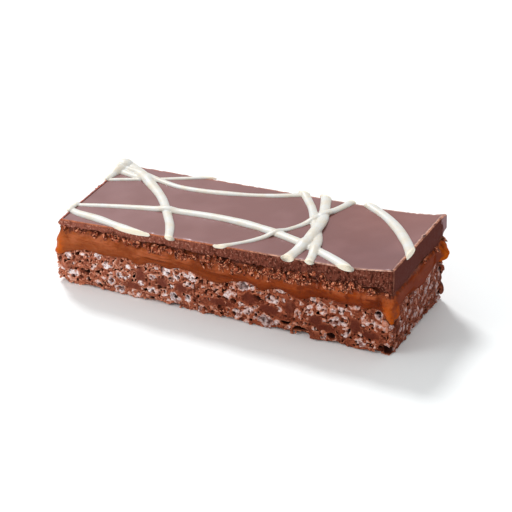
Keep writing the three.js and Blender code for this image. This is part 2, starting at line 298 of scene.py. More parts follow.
def oval_share(table, x, z, strength):
    """How far inside the ovals of a table of the front face a place is, up to 1."""
    share = 0
    for along, high, half_long, half_high in table:
        away = ((x - along) / half_long) ** 2 + ((z - high) / half_high) ** 2
        share = np.maximum(share, np.clip(strength - 1.6 * away, 0, 1))
    return share


def pool_share(x, y, z):
    """1 in the middle of a smooth pool of the front face, falling to 0 outside it."""
    return oval_share(FRONT_POOLS, x, z, 1.8) * np.clip(1 - depth_from("front", x, y) / 3, 0, 1)


def torn_hollow_shade(x, y, z):
    """1 well inside a place where a cluster was torn out of the front face; the materials paint shade
    there.
    """
    depth = depth_from("front", x, y)
    inside = np.clip((depth - 0.1) / 0.9, 0, 1) * np.clip(3.4 - depth, 0, 1)
    off_the_end = np.clip((depth_from("right", x, y) - 0.3) / 0.6, 0, 1)
    return oval_share(FRONT_HOLLOWS, x, z, 2.4) * inside * off_the_end


def smooth_max(a, b, blend):
    share = np.clip(0.5 + 0.5 * (a - b) / blend, 0, 1)
    return b + (a - b) * share + blend * share * (1 - share)


def part_near(centre, reach):
    """The block of small cubes within reach of a point, and their offsets from it."""
    low = np.floor((centre - reach - GRID_LOW) / CELL).astype(int)
    high = np.ceil((centre + reach - GRID_LOW) / CELL).astype(int)
    low, high = np.maximum(low, 0), np.minimum(high, GRID_COUNT)
    spots = [GRID_LOW[i] + CELL * np.arange(low[i], high[i]) - centre[i] for i in range(3)]
    return tuple(slice(a, b) for a, b in zip(low, high)), np.ix_(*spots)


def add_ball(field, centre, radius, blend):
    part, (dx, dy, dz) = part_near(centre, radius + 0.5)
    ball = np.sqrt(dx * dx + dy * dy + dz * dz) - radius
    field[part] = -smooth_max(-field[part], -ball, blend)


def cut_pit(field, centre, half):
    part, (dx, dy, dz) = part_near(centre, max(half) + 0.3)
    pit = np.sqrt((dx / half[0]) ** 2 + (dy / half[1]) ** 2 + (dz / half[2]) ** 2) - 1
    field[part] = np.maximum(field[part], -pit * min(half))


def scatter_on_faces(random, per_area, depths):
    """Random points under the cut faces and off the pools, so many to the square millimetre."""
    for side in SIDE_WAYS:
        reach = side_reach(side) + 0.4
        for _ in range(int(2 * reach * BASE_HEIGHT * per_area)):
            along = random.uniform(-reach, reach)
            high = random.uniform(0.1, along_side(side, along, 12, 14.5))
            spot = side_place(side, along, random.uniform(*depths), high)
            if pool_share(*spot) < POOL_EDGE:
                yield spot


def knife_cut_block(x, y, z):
    """Distances from the block that the knife left, from its walls and from its bitten foot."""
    ends = np.maximum(x, -x - left_bulge(z)) - BAR_LENGTH / 2
    walls = smooth_max(ends, np.abs(y) - width_at(x) / 2, BLOCK_ROUND)
    bites = 0.9 * mottle(x, y, 0 * z, 3.4, 11) + 0.4 * mottle(x, y, 0 * z, 1.4, 14)
    for along, high, half in LOWER_BITES:
        bites = np.maximum(bites, high * np.exp(-(((x - along) / half) ** 4)) * (y < 0))
    bites = bites * (1 - np.clip((x - WHOLE_FOOT) / 1.5, 0, 1) * (y < -12))
    foot = 0.15 + np.clip(bites, 0, 2) * np.clip(1 + walls / 3.5, 0, 1) - z
    block = np.maximum(walls, np.maximum(z - base_top(x, y), foot)).astype(np.float32)
    return block, walls, foot


def crumbly_chocolate(random, x, y, z, walls, foot):
    """The chocolate between the kernels: spongy and lumpy, but smooth where it pooled."""
    porous = np.clip(0.62 + 0.8 * mottle(x, y, z, 4.5, 13) - x / 200, 0.15, 1) * (1 - pool_share(x, y, z))
    sponge = 1.15 * np.abs(mottle(x, y, z, 1.1, 1)) + 0.75 * np.abs(mottle(x, y, z, 0.6, 2))
    rough = 0.4 * mottle(x, y, z, 5.5, 4) + 0.3 * mottle(x, y, z, 2.0, 5) + porous * (sponge - 0.3)
    crumb = smooth_max(walls + 0.25 + rough * np.clip(1.6 + walls / 2, 0, 1), foot, 0.5)
    crumb = np.maximum(crumb, z - base_top(x, y)).astype(np.float32)
    for side, along, deep, high, radius in LUMPS:
        add_ball(crumb, side_place(side, along, deep, high), radius, 0.8)
    for centre in scatter_on_faces(random, CRUMBS_PER_MM2, CRUMB_DEPTHS):
        add_ball(crumb, centre, random.uniform(*CRUMB_RADII), 0.4)
    for centre in scatter_on_faces(random, PITS_PER_MM2, PIT_DEPTHS):
        cut_pit(crumb, centre, random.uniform(*PIT_RADII, 3))
    return crumb


def open_kernel(random, kernel, block, crumb, foam, rind):
    """Sets a kernel in the crumb, cut open with pits in its foam, or gives the hole it left."""
    centre, half, ways, state = (kernel[key] for key in ("centre", "half", "ways", "state"))
    part, offset = part_near(centre, half.max() + 0.8)
    own = [sum(offset[i] * way[i] for i in range(3)) for way in ways]
    own_x = [o + c for o, c in zip(own, centre)]
    ragged = 0.36 * mottle(*own_x, 1.4, 8) + 0.2 * mottle(*own_x, 0.7, 12)
    skin = (np.sqrt(sum((o / h) ** 2 for o, h in zip(own, half))) + ragged - 1) * half[1]
    if state == "gone":
        return [(part, skin + 0.4 * mottle(*own_x, 0.9, 18))]
    if state == "cut":
        covered = mottle(*own_x, 1.2, 15) + 0.5 * mottle(*own_x, 0.6, 16) - 0.45
        skin = np.maximum(skin, 1.1 * covered)
    rind[part] = np.minimum(rind[part], skin)
    behind = -block[part] - (CUT_DEPTH if state == "cut" else HOLLOW_DEPTH)
    crumb[part] = np.maximum(crumb[part], -np.maximum(skin, behind) - 0.05)
    opened = np.maximum(np.maximum(skin, behind - 0.4), block[part] - kernel["proud"])
    if state == "hollow":
        inner = np.sqrt(sum((o / h) ** 2 for o, h in zip(own, half - 0.5)))
        opened = np.maximum(opened, (1 - inner - ragged) * half[1])
    opened = opened + 0.17 * mottle(*own_x, 0.62, 9)
    foam[part] = np.minimum(foam[part], opened)
    inward = np.array((*SIDE_WAYS[kernel["side"]][1], 0.0))
    for _ in range(int(half[0] * half[1] * PITS_PER_AREA)):
        reach = half[0] * math.sqrt(random.uniform(0, 1))
        spin = random.uniform(0, 2 * math.pi)
        flat = reach * math.cos(spin) * ways[0] + reach * math.sin(spin) * half[1] / half[0] * ways[1]
        flat = flat - inward * (flat @ inward + kernel["deep"] + random.uniform(-0.4, 0.2))
        cut_pit(foam, centre + flat, random.choice(FOAM_PITS) * random.uniform(0.7, 1.3, 3))
    return []


def tear_hollows(random, crumb, foam):
    for along, high, half_long, half_high in FRONT_HOLLOWS:
        for astray in HOLLOW_SCATTER:
            shift = random.uniform(-astray, astray, 2) * (half_long, half_high)
            spot = side_place("front", along + shift[0], random.uniform(0.1, 0.6), high + shift[1])
            half = np.array((half_long, max(1.5, 1.4 * half_long), half_high))
            half = half * random.uniform(0.95 - 0.7 * astray, 0.95, 3)
            cut_pit(crumb, spot, half)
            cut_pit(foam, spot, half)


def make_base_fields():
    """The chocolate crumb and the opened rice, as distances on one grid of small cubes."""
    random = np.random.default_rng(BASE_SEED)
    axes = [GRID_LOW[i] + CELL * np.arange(GRID_COUNT[i]) for i in range(3)]
    x, y, z = np.ix_(*[axis.astype(np.float32) for axis in axes])
    block, walls, foot = knife_cut_block(x, y, z)
    crumb = crumbly_chocolate(random, x, y, z, walls, foot)
    foam = np.full(block.shape, FAR, np.float32)
    rind = np.full(block.shape, 1, np.float32)
    pulled_out = []
    for kernel in rice_kernels(random):
        pulled_out += open_kernel(random, kernel, block, crumb, foam, rind)
    for part, skin in pulled_out:
        crumb[part], foam[part] = np.maximum(crumb[part], -skin), np.maximum(foam[part], -skin)
    tear_hollows(random, crumb, foam)
    crumb, foam = np.maximum(crumb, UNDERSIDE - z), np.maximum(foam, UNDERSIDE - z)
    solid = np.minimum(crumb, foam) < 0
    loose = solid & ~joined_to_core(solid, walls < -CORE_DEPTH)
    crumb[loose] = foam[loose] = CELL
    return crumb, foam, rind


def joined_to_core(solid, core):
    """Which of the solid cubes hang together with the core of the bar."""
    found = solid & core
    for _ in range(JOIN_STEPS):
        grown = found.copy()
        for axis in range(3):
            grown |= np.roll(found, 1, axis) | np.roll(found, -1, axis)
        found = grown & solid
    return found


def mesh_piece(name, points, faces):
    """A mesh object from points in millimetres and faces that all have as many corners."""
    faces = np.asarray(faces, np.int32)
    mesh = bpy.data.meshes.new(name)
    mesh.vertices.add(len(points))
    mesh.vertices.foreach_set("co", (np.asarray(points) * MM).astype(np.float32).ravel())
    mesh.loops.add(faces.size)
    mesh.loops.foreach_set("vertex_index", faces.ravel())
    mesh.polygons.add(len(faces))
    starts = np.arange(0, faces.size, faces.shape[1], dtype=np.int32)
    mesh.polygons.foreach_set("loop_start", starts)
    mesh.update(calc_edges=True)
    mesh.validate()
    return placed(name, mesh)


def placed(name, mesh):
    mesh.shade_smooth()
    piece = bpy.data.objects.new(name, mesh)
    bpy.context.scene.collection.objects.link(piece)
    return piece


def points_of(piece):
    """A piece's points in millimetres."""
    flat = np.empty(3 * len(piece.data.vertices), np.float32)
    piece.data.vertices.foreach_get("co", flat)
    return flat.reshape(-1, 3) / MM


def note(piece, **values):
    """Writes values on a piece's points, for its material to read."""
    for key, value in values.items():
        attribute = piece.data.attributes.new(key, "FLOAT", "POINT")
        attribute.data.foreach_set("value", np.asarray(value, np.float32).ravel())


def settled(piece):
    """The piece with its modifiers' work made part of its mesh."""
    graph = bpy.context.evaluated_depsgraph_get()
    mesh = bpy.data.meshes.new_from_object(piece.evaluated_get(graph))
    name = piece.name
    bpy.data.objects.remove(piece)
    mesh.name = name
    return placed(name, mesh)


def thinned(piece, triangles):
    """The piece with about so many triangles, the flat parts made of fewer."""
    count = sum(len(face.vertices) - 2 for face in piece.data.polygons)
    fewer = piece.modifiers.new("fewer", "DECIMATE")
    fewer.ratio = min(1, triangles / count)
    return settled(piece)


def meshed(name, field, triangles):
    """A piece with the surface where a field is zero, thinned to so many triangles."""
    clipped = np.clip(field, -FAR, FAR).astype(np.float32)
    clipped[[0, -1]] = clipped[:, [0, -1]] = clipped[:, :, [0, -1]] = FAR
    grid = openvdb.FloatGrid(FAR)
    grid.copyFromArray(clipped)
    points, _, quads = grid.convertToPolygons(isovalue=0.0, adaptivity=0.0)
    return thinned(mesh_piece(name, points * CELL + GRID_LOW, quads[:, ::-1]), triangles)


def sampled(field, points):
    """A field's values at points, blended from the eight cubes round each."""
    steps = np.clip((points - GRID_LOW) / CELL, 0, np.array(field.shape) - 1.001)
    low = steps.astype(int)
    share = steps - low
    total = 0
    for corner in np.ndindex(2, 2, 2):
        weight = np.prod(np.where(corner, share, 1 - share), axis=1)
        total = total + weight * field[tuple((low + corner).T)]
    return total


def filled_round(solid, reach):
    """How much of the cube of so many cells each way round every cell is filled."""
    share = solid.astype(np.float32)
    for axis in range(3):
        pads = [(0, 0)] * 3
        pads[axis] = (reach + 1, reach)
        sums_up = np.cumsum(np.pad(share, pads), axis=axis, dtype=np.float32)
        size = share.shape[axis]
        width = 2 * reach + 1
        later = np.take(sums_up, range(width, width + size), axis=axis)
        share = (later - np.take(sums_up, range(size), axis=axis)) / width
    return share


def wired(tree, kind, given=(), **settings):
    """A new node with its settings, and a number or another node's output on each input."""
    node = tree.nodes.new(kind)
    for key, setting in settings.items():
        setattr(node, key, setting)
    for key, value in dict(given).items():
        if isinstance(value, bpy.types.NodeSocket):
            tree.links.new(value, node.inputs[key])
        else:
            node.inputs[key].default_value = value
    return node


NOISE_ROUGHNESS = 0.6
# The sockets of a mix node that take and give colours
MIX_SHARE, MIX_FIRST, MIX_SECOND, MIX_RESULT = 0, 6, 7, 2


class Finish:
    """A material in the making, with places in millimetres and shares from 0 to 1."""

    def __init__(self, name, roughness, shine, subsurface=0.0, radius=(1, 1, 1)):
        self.material = bpy.data.materials.new(name)
        self.material.use_nodes = True
        self.tree = self.material.node_tree
        self.inputs = self.tree.nodes["Principled BSDF"].inputs
        for key, setting in (
            ("Roughness", roughness), ("Specular IOR Level", shine), ("Subsurface Weight", subsurface),
            ("Subsurface Radius", radius), ("Subsurface Scale", MM),
        ):
            self.inputs[key].default_value = setting

    def link(self, value, key):
        self.tree.links.new(value, self.inputs[key])

    def place(self):
        return wired(self.tree, "ShaderNodeTexCoord").outputs["Object"]

    def value(self, name):
        """A value that was noted on the piece's points."""
        return wired(self.tree, "ShaderNodeAttribute", attribute_name=name).outputs["Fac"]

    def noise(self, size, detail=3.0, squeeze=(1, 1, 1)):
        """Noise that changes over about size, drawn out where squeeze is small."""
        given = {0: self.place(), 1: squeeze}
        squeezed = wired(self.tree, "ShaderNodeVectorMath", given, operation="MULTIPLY")
        return wired(self.tree, "ShaderNodeTexNoise", {
            "Vector": squeezed.outputs[0], "Scale": 1 / (size * MM), "Detail": detail,
            "Roughness": NOISE_ROUGHNESS,
        }).outputs["Fac"]

    def spread(self, value, low, high, out_low=0.0, out_high=1.0):
        """value stretched so that low becomes out_low and high becomes out_high, held there."""
        return wired(self.tree, "ShaderNodeMapRange", {
            "Value": value, "From Min": low, "From Max": high, "To Min": out_low, "To Max": out_high,
        }).outputs["Result"]

    def patches(self, size, low, high, most=1.0):
        return self.spread(self.noise(size), low, high, 0, most)

    def noted(self, name, low, high, most=1.0):
        return self.spread(self.value(name), low, high, 0, most)

    def along(self, low, high, out_low=0.0, out_high=1.0, way="X"):
        """A share that changes from one place along the bar to another."""
        place = wired(self.tree, "ShaderNodeSeparateXYZ", {0: self.place()})
        return self.spread(place.outputs[way], low * MM, high * MM, out_low, out_high)

    def sums(self, kind, first, *others):
        for other in others:
            first = wired(self.tree, "ShaderNodeMath", {0: first, 1: other}, operation=kind).outputs[0]
        return first

    def times(self, *shares):
        return self.sums("MULTIPLY", *shares)

    def blended(self, share, first, second, kind="MIX"):
        """first where share is 0, second where it is 1; each is a colour or a socket."""
        first, second = ((*c, 1) if isinstance(c, tuple) else c for c in (first, second))
        given = {MIX_SHARE: share, MIX_FIRST: first, MIX_SECOND: second}
        mix = wired(self.tree, "ShaderNodeMix", given, data_type="RGBA", blend_type=kind)
        return mix.outputs[MIX_RESULT]

    def coated(self, tone, *coats):
        """tone under coats of other tones, each coat a share and a tone."""
        for share, coat in coats:
            tone = self.blended(share, tone, coat)
        return tone

    def tinted(self, tone, *tints):
        for share, tint in tints:
            tone = self.blended(share, tone, tint, "MULTIPLY")
        return tone

    def bumped(self, height, distance, strength=1.0):
        given = {"Distance": distance * MM, "Strength": strength, "Height": height}
        self.link(wired(self.tree, "ShaderNodeBump", given).outputs["Normal"], "Normal")

    def coloured(self, tone):
        self.link(tone, "Base Color")
        return self.material


def screen_colour(red, green, blue):
    """A colour read off a screen, 0 to 255, as the light values that a shader takes."""
    parts = [c / 255 for c in (red, green, blue)]
    return tuple(c / 12.92 if c < 11 / 255 else ((c + 0.055) / 1.055) ** 2.4 for c in parts)


def painted_light_and_end_shade(finish, tone, strength):
    """tone with painted light, paler toward the bar's left end, and painted shade, darker on its right
    end's cut face.
    """
    left = finish.along(35, -55, 0, strength)
    end = finish.along(BAR_LENGTH / 2 - 1.3, BAR_LENGTH / 2 - 0.2, 0, 0.9)
    return finish.tinted(tone, (left, PAINTED_LIGHT_LEFT), (end, PAINTED_SHADE_END))


def reddened(finish, tone, deeper):
    """tone, a little deeper and redder over the right half of the bar."""
    return finish.tinted(tone, (finish.along(-20, 5), deeper))


# Painted light toward the left end, and painted shade on the right end's cut face
PAINTED_LIGHT_LEFT = (1.9, 2.1, 2.3)
PAINTED_SHADE_END = (0.62, 0.56, 0.58)
CRUMB_DEEPER = (0.87, 0.71, 0.61)
FOAM_DEEPER = (0.88, 0.79, 0.76)
# Painted shade: near black, for deep pits, caves and torn-out hollows
HOLLOW_SHADE = screen_colour(38, 11, 5)
CRUMB_DARK = screen_colour(98, 46, 31)
CRUMB_MID = screen_colour(131, 68, 47)
CRUMB_WARM = screen_colour(170, 96, 68)
# Painted highlight for crumbs that stand out
CRUMB_EDGE_HIGHLIGHT = screen_colour(220, 152, 124)
POOL = screen_colour(98, 44, 32)
FOAM_PALE = screen_colour(250, 238, 238)
FOAM_BROWN = screen_colour(204, 168, 160)
TOASTED = screen_colour(212, 136, 100)
# Painted shade in the pits and hollows of the opened foam
PIT_SHADE = screen_colour(64, 32, 24)


def crumb_chocolate():
    finish = Finish("crumb_chocolate", roughness=0.55, shine=0.08, subsurface=0.1, radius=(1.0, 0.4, 0.25))
    smooth = finish.times(finish.value("pool"), finish.spread(finish.noise(0.4), 0.3, 0.7, 0.75, 0.95))
    tone = finish.coated(
        CRUMB_DARK,
        (finish.patches(2.4, 0.38, 0.62), CRUMB_MID),
        (finish.patches(0.45, 0.48, 0.6, 0.6), CRUMB_WARM),
        (finish.patches(0.55, 0.46, 0.34, 0.6), CRUMB_DARK),
        (finish.noted("rind", 0.5, 0.1, 0.7), CRUMB_WARM),
        # Painted highlight on the crumbs that stand out
        (finish.noted("edge", 0.46, 0.26, 0.9), CRUMB_EDGE_HIGHLIGHT),
        # Painted shade: near black deep in pits, caves and torn-out hollows
        (finish.noted("hollow", 0.54, 0.72, 0.95), HOLLOW_SHADE),
        (finish.noted("cave", 0.58, 0.72, 0.95), HOLLOW_SHADE),
        (finish.noted("torn", 0, 1, 0.95), HOLLOW_SHADE),
        (smooth, POOL),
    )
    finish.bumped(finish.noise(0.4, 4), 0.22)
    return finish.coloured(reddened(finish, painted_light_and_end_shade(finish, tone, 0.45), CRUMB_DEEPER))


def opened_rice():
    finish = Finish("opened_rice", roughness=0.55, shine=0.12, subsurface=0.2, radius=(1.2, 0.9, 0.7))
    tone = finish.coated(
        FOAM_BROWN,
        (finish.patches(0.6, 0.4, 0.56), FOAM_PALE),
        (finish.patches(1.5, 0.51, 0.6, 0.85), CRUMB_MID),
        (finish.noted("rind", -0.4, -0.08, 0.8), TOASTED),
        # Painted shade: dark deep in pits, caves and torn-out hollows
        (finish.noted("hollow", 0.55, 0.74, 0.95), PIT_SHADE),
        (finish.noted("cave", 0.6, 0.75, 0.8), PIT_SHADE),
        (finish.noted("torn", 0, 1, 0.95), HOLLOW_SHADE),
    )
    finish.bumped(finish.noise(0.35), 0.16)
    return finish.coloured(reddened(finish, painted_light_and_end_shade(finish, tone, 0.1), FOAM_DEEPER))


crumb_field, foam_field, rind_field = make_base_fields()
solid_field = np.minimum(crumb_field, foam_field) < 0
# How filled the cubes round each point are: the least filled get a painted highlight, the most filled
# painted shade
edge_highlight_field, hollow_shade_field, cave_field = (
    filled_round(solid_field, reach) for reach in (EDGE_REACH, HOLLOW_REACH, CAVE_REACH)
)
for name, field, triangles, material in (
    ("crumb_base", crumb_field, CRUMB_TRIANGLES, crumb_chocolate()),
    ("rice_crisps", foam_field, RICE_TRIANGLES, opened_rice()),
):
    piece = meshed(name, field, triangles)
    points = points_of(piece)
    note(piece, edge=sampled(edge_highlight_field, points), hollow=sampled(hollow_shade_field, points))
    note(piece, cave=sampled(cave_field, points), rind=sampled(rind_field, points))
    note(piece, pool=pool_share(*points.T), torn=torn_hollow_shade(*points.T))
    piece.data.materials.append(material)
    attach(piece, "root")
    if name == "crumb_base":
        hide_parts("crispy_base")

# --------------------------------------------------------------------------------------
# The caramel: poured warm over the base and set soft, so the cut faces have bulged and
# run down over the rice. It is stringy, and brighter where it is thin: at the lip on the
# left end, in the drip at the near right corner and in the bulge of the right end.

SLAB_BOTTOM_LEFT = 18.3
SLAB_BOTTOM_RIGHT = 19.8
OUTLINE_STEP = 0.36
CORNER_CUT = 0.25  # how much the bar's upright corners are cut back
CARAMEL_ROWS = 24
CARAMEL_SWELL = 0.75  # how far the caramel's cut faces bulge
CARAMEL_INSET = 1.6  # how far in the closed underside and top start
# Caramel pushed out past the cut faces: side, how far along, how far out, half width
CARAMEL_LIPS = [
    ("left", -17, 2.0, 4.5), ("left", 6, 0.8, 6), ("front", -51.6, 1.4, 1.9), ("front", 50.6, 1.3, 2.1),
    ("right", -18.4, 1.2, 1.9), ("right", 16.2, 2.5, 2.3), ("front", 43, 0.35, 4), ("front", -7, 0.2, 5),
]
# Cracks between caramel and slab, where flakes broke away: side, how far along, depth, half width
CRACKS = [
    ("front", -40, 0.8, 5), ("front", -21, 1.2, 3.5), ("front", -9, 1.4, 4), ("front", 1, 0.9, 4),
    ("front", 11, 1.2, 4), ("front", 24, 0.5, 3), ("front", 46, 1.4, 2.8), ("right", 0, 0.3, 16),
    ("right", 17, 1.0, 2), ("back", -20, 0.8, 9), ("back", 25, 0.9, 7), ("left", 2, 0.6, 12),
]
# Folds pressed into the caramel's cut faces: side, how far along, how deep, half width
CARAMEL_CREASES = [
    ("front", 47.6, 0.8, 0.8), ("front", -41, 0.25, 1.5), ("front", 27, 0.3, 1.2), ("right", 11, 0.4, 1.2),
]


def outline_stops():
    """Stops round the bar's plan from the front left corner: place, way out, side, along."""
    corners = np.array([
        (-BAR_LENGTH / 2, -WIDTH_LEFT / 2), (BAR_LENGTH / 2, -WIDTH_RIGHT / 2),
        (BAR_LENGTH / 2, WIDTH_RIGHT / 2), (-BAR_LENGTH / 2, WIDTH_LEFT / 2),
    ])
    counts = [round(BAR_LENGTH / OUTLINE_STEP), round(WIDTH_LEFT / OUTLINE_STEP)] * 2
    place, out, side, along = [], [], [], []
    for number, name in enumerate(("front", "right", "back", "left")):
        start, end = corners[number], corners[(number + 1) % 4]
        share = np.arange(counts[number])[:, None] / counts[number]
        spots = start + (end - start) * share
        run = (end - start) / np.linalg.norm(end - start)
        place.append(spots)
        out.append(np.tile((run[1], -run[0]), (counts[number], 1)))
        side += [name] * counts[number]
        along.append(spots[:, number % 2])
    place, out, along = np.vstack(place), np.vstack(out), np.concatenate(along)
    for start in np.cumsum([0] + counts[:3]):
        way = out[start] + out[start - 1]
        out[start] = way / np.linalg.norm(way)
        place[start] -= out[start] * CORNER_CUT
    return {"place": place, "out": out, "side": np.array(side), "along": along, "counts": counts}


stops = outline_stops()


def round_the_bar(table):
    """For each stop, the highest value of a table of (side, along, value, half width)."""
    value = np.zeros(len(stops["along"]))
    for side, where, high, half in table:
        here = high * hump(stops["along"] - where, half)
        value = np.maximum(value, np.where(stops["side"] == side, here, 0))
    return value


def ring_at(push, high):
    """A ring round the bar, pushed out from its outline by so much, at such heights."""
    return np.column_stack((stops["place"] + stops["out"] * np.reshape(push, (-1, 1)), high))


def layer_shell(rings, top=None):
    """Points and faces of a closed layer from rings of points, the lowest one first. Rungs
    close its underside, and its top too unless top(x, y) gives the height of a grid there."""
    long, short = stops["counts"][:2]
    count = len(stops["along"])
    points = np.vstack(rings)
    ring = np.arange(count)
    following = (ring + 1) % count
    faces = []
    for low in range(0, (len(rings) - 1) * count, count):
        high = low + count
        faces.append(np.stack((low + ring, low + following, high + following, high + ring), 1))
    grid = np.zeros((long + 1, short + 1), int)
    grid[:, 0] = np.arange(long + 1)
    grid[-1] = long + np.arange(short + 1)
    grid[:, -1] = long + short + np.arange(long, -1, -1)
    grid[0] = (2 * long + 2 * short - np.arange(short + 1)) % count
    under, over = grid, grid + (len(rings) - 1) * count
    faces.append(np.stack((under[1:-2, 0], under[1:-2, -1], under[2:-1, -1], under[2:-1, 0]), 1))
    triangles = [end_fans(under)]
    if top is None:
        faces.append(np.stack((over[1:-2, 0], over[2:-1, 0], over[2:-1, -1], over[1:-2, -1]), 1))
        triangles.append(end_fans(over)[:, ::-1])
    else:
        share = np.arange(1, short)[None, :, None] / short
        front, back = points[over[1:-1, 0], :2], points[over[1:-1, -1], :2]
        inside = (front[:, None] + (back - front)[:, None] * share).reshape(-1, 2)
        over[1:-1, 1:-1] = len(points) + np.arange(len(inside)).reshape(long - 1, short - 1)
        points = np.vstack((points, np.column_stack((inside, top(*inside.T)))))
        quads = np.stack((over[:-1, :-1], over[1:, :-1], over[1:, 1:], over[:-1, 1:]), -1)
        faces.append(quads.reshape(-1, 4))
    return points, np.vstack(faces), np.vstack(triangles)


def end_fans(rim):
    """Triangles that close the two ends of a layer's underside."""
    left = [(rim[1, 0], rim[0, j], rim[0, j + 1]) for j in range(rim.shape[1] - 1)]
    left.append((rim[1, 0], rim[0, -1], rim[1, -1]))
    right = [(rim[-2, 0], rim[-1, j + 1], rim[-1, j]) for j in range(rim.shape[1] - 1)]
    right.append((rim[-2, 0], rim[-2, -1], rim[-1, -1]))
    return np.array(left + right)


def joined_faces(name, points, quads, triangles, **values):
    """A mesh piece of quads and a few triangles."""
    piece = mesh_piece(name, points, quads)
    note(piece, **values)
    whole = bmesh.new()
    whole.from_mesh(piece.data)
    whole.verts.ensure_lookup_table()
    for triangle in triangles:
        whole.faces.new([whole.verts[int(corner)] for corner in triangle]).smooth = True
    whole.to_mesh(piece.data)
    whole.free()
    return piece


def front_fold(along, high):
    """The fold where caramel was pushed over a hump of rice in the front face."""
    off = high - (15.0 - 2.4 * hump(along + 28.4, 2.6) - 0.02 * (along + 18))
    there = hump(along + 20.5, 5) + 0.5 * hump(along - 1, 5)
    return there * (0.6 * hump(off, 0.3) - 0.7 * hump(off + 0.75, 0.4) + 0.3 * hump(off - 1.1, 0.3))


def caramel_rings():
    """The caramel's rings from the lowest up, its lips round the bar and each point's relief."""
    side, along = stops["side"], stops["along"]
    x, y = stops["place"].T
    lower = base_top(x, y) - 0.3
    upper = along_bar(x, SLAB_BOTTOM_LEFT, SLAB_BOTTOM_RIGHT) + 0.1
    lips, creases, cracks = (round_the_bar(table) for table in (CARAMEL_LIPS, CARAMEL_CREASES, CRACKS))
    left = (side == "left") | (x < -48)
    rings = [ring_at(-CARAMEL_INSET, lower + 1.2)]
    reliefs = [0 * x]
    for share in np.linspace(0, 1, CARAMEL_ROWS):
        high = lower + (upper - lower) * share
        rounded = math.sin(math.pi * min(1, 0.05 + share * 1.02)) ** 0.6
        rounded = rounded * np.where(side == "left", 0.7, 1)
        sagged = hump(share - np.where(left, 0.02, 0.4), np.where(left, 0.42, 0.25))
        wave = 0.4 * mottle(x, y, high * 1.6, 6, 21) + 0.2 * mottle(x, y, high * 2.2, 2.2, 22)
        fine = 0.07 * mottle(along * 0.25, 0 * x, high, 0.8, 23)
        fine = fine + 0.3 * lips * mottle(x, y, high, 1.3, 24)
        parted = (0.35 + 0.8 * cracks) * max(0, (share - 0.72) / 0.28)
        swell = (CARAMEL_SWELL + wave) * rounded + fine + lips * sagged
        swell = swell - creases * sagged - parted - 0.25
        fold = np.where(side == "front", front_fold(along, high), 0)
        rings.append(ring_at(swell + fold, high))
        # Each point's relief: the material paints shade in its hollows and a highlight on its crests
        reliefs.append(wave + 1.4 * fold - creases * sagged)
    rings.append(ring_at(-CARAMEL_INSET, upper + 0.1))
    reliefs.append(0 * x)
    return rings, lips, np.concatenate(reliefs)


CARAMEL_LEFT = screen_colour(158, 80, 38)
CARAMEL_RIGHT = screen_colour(136, 52, 4)
# Darker tones that also paint shade, and paler ones that also paint sheen and highlight
CARAMEL_DARKER_AND_SHADE_LEFT = screen_colour(134, 60, 18)
CARAMEL_DARKER_AND_SHADE_RIGHT = screen_colour(98, 30, 0)
CARAMEL_PALER_AND_SHEEN = screen_colour(190, 108, 70)
CARAMEL_PALER_AND_HIGHLIGHT_RIGHT = screen_colour(166, 76, 20)
CARAMEL_THIN = screen_colour(196, 92, 22)
# Painted shade for the caramel's right end face
CARAMEL_END_SHADE = screen_colour(112, 58, 46)


def soft_caramel():
    finish = Finish("soft_caramel", roughness=0.3, shine=0.1, subsurface=0.3, radius=(0.8, 0.3, 0.12))
    run = finish.along(-50, 25)
    # Painted light and shade: crests and the upper part get the paler tones as painted highlight and sheen,
    # hollows and the foot the darker ones as painted shade; the same tones also give random patches and
    # streaks
    darker_and_shade = finish.blended(run, CARAMEL_DARKER_AND_SHADE_LEFT, CARAMEL_DARKER_AND_SHADE_RIGHT)
    paler_and_highlight = finish.blended(run, CARAMEL_PALER_AND_SHEEN, CARAMEL_PALER_AND_HIGHLIGHT_RIGHT)
    upper_sheen = finish.times(finish.patches(3, 0.4, 0.62), 0.6, finish.noted("high", 0.3, 0.6))
    streak = finish.noise(0.9, 4, (0.16, 0.16, 1))
    thin = finish.sums("ADD", finish.value("thin"), finish.spread(finish.noise(1.0), 0.3, 0.7, -0.3, 0.3))
    hanging = finish.spread(finish.value("high"), 0.75, 0.4, 0.3, 1)
    bright = finish.times(finish.spread(thin, 0.4, 1.5, 0, 0.9), hanging, finish.along(51.2, 51.9, 1, 0.75))
    # Painted shade: a darker, duller tone on the right end's cut face where the caramel is thick
    end_shade = finish.times(finish.along(51.5, 51.9, 0, 0.85), finish.spread(thin, 1.5, 0.7))
    uneven = finish.spread(finish.noise(1.4), 0.3, 0.7, -0.2, 0.2)
    smear = finish.spread(finish.sums("ADD", finish.value("high"), uneven), 0.78, 0.95)
    tone = finish.coated(
        CARAMEL_LEFT,
        (run, CARAMEL_RIGHT),
        (upper_sheen, CARAMEL_PALER_AND_SHEEN),
        (finish.patches(1.9, 0.46, 0.34, 0.7), darker_and_shade),
        (finish.noted("relief", 0.05, -0.4, 0.7), darker_and_shade),
        (finish.noted("relief", 0.2, 0.9, 0.6), paler_and_highlight),
        (finish.spread(streak, 0.47, 0.33, 0, 0.8), darker_and_shade),
        (finish.spread(streak, 0.56, 0.7, 0, 0.6), paler_and_highlight),
        (finish.noted("high", 0.45, 0.05, 0.7), darker_and_shade),
        (bright, CARAMEL_THIN),
        (end_shade, CARAMEL_END_SHADE),
        (smear, CRUMB_DARK),
    )
    finish.link(finish.spread(smear, 0, 1, 0.3, 0.5), "Roughness")
    finish.link(finish.along(51, 51.6, 0.08, 0), "Specular IOR Level")
    finish.bumped(finish.noise(0.9), 0.16, 0.6)
    return finish.coloured(tone)


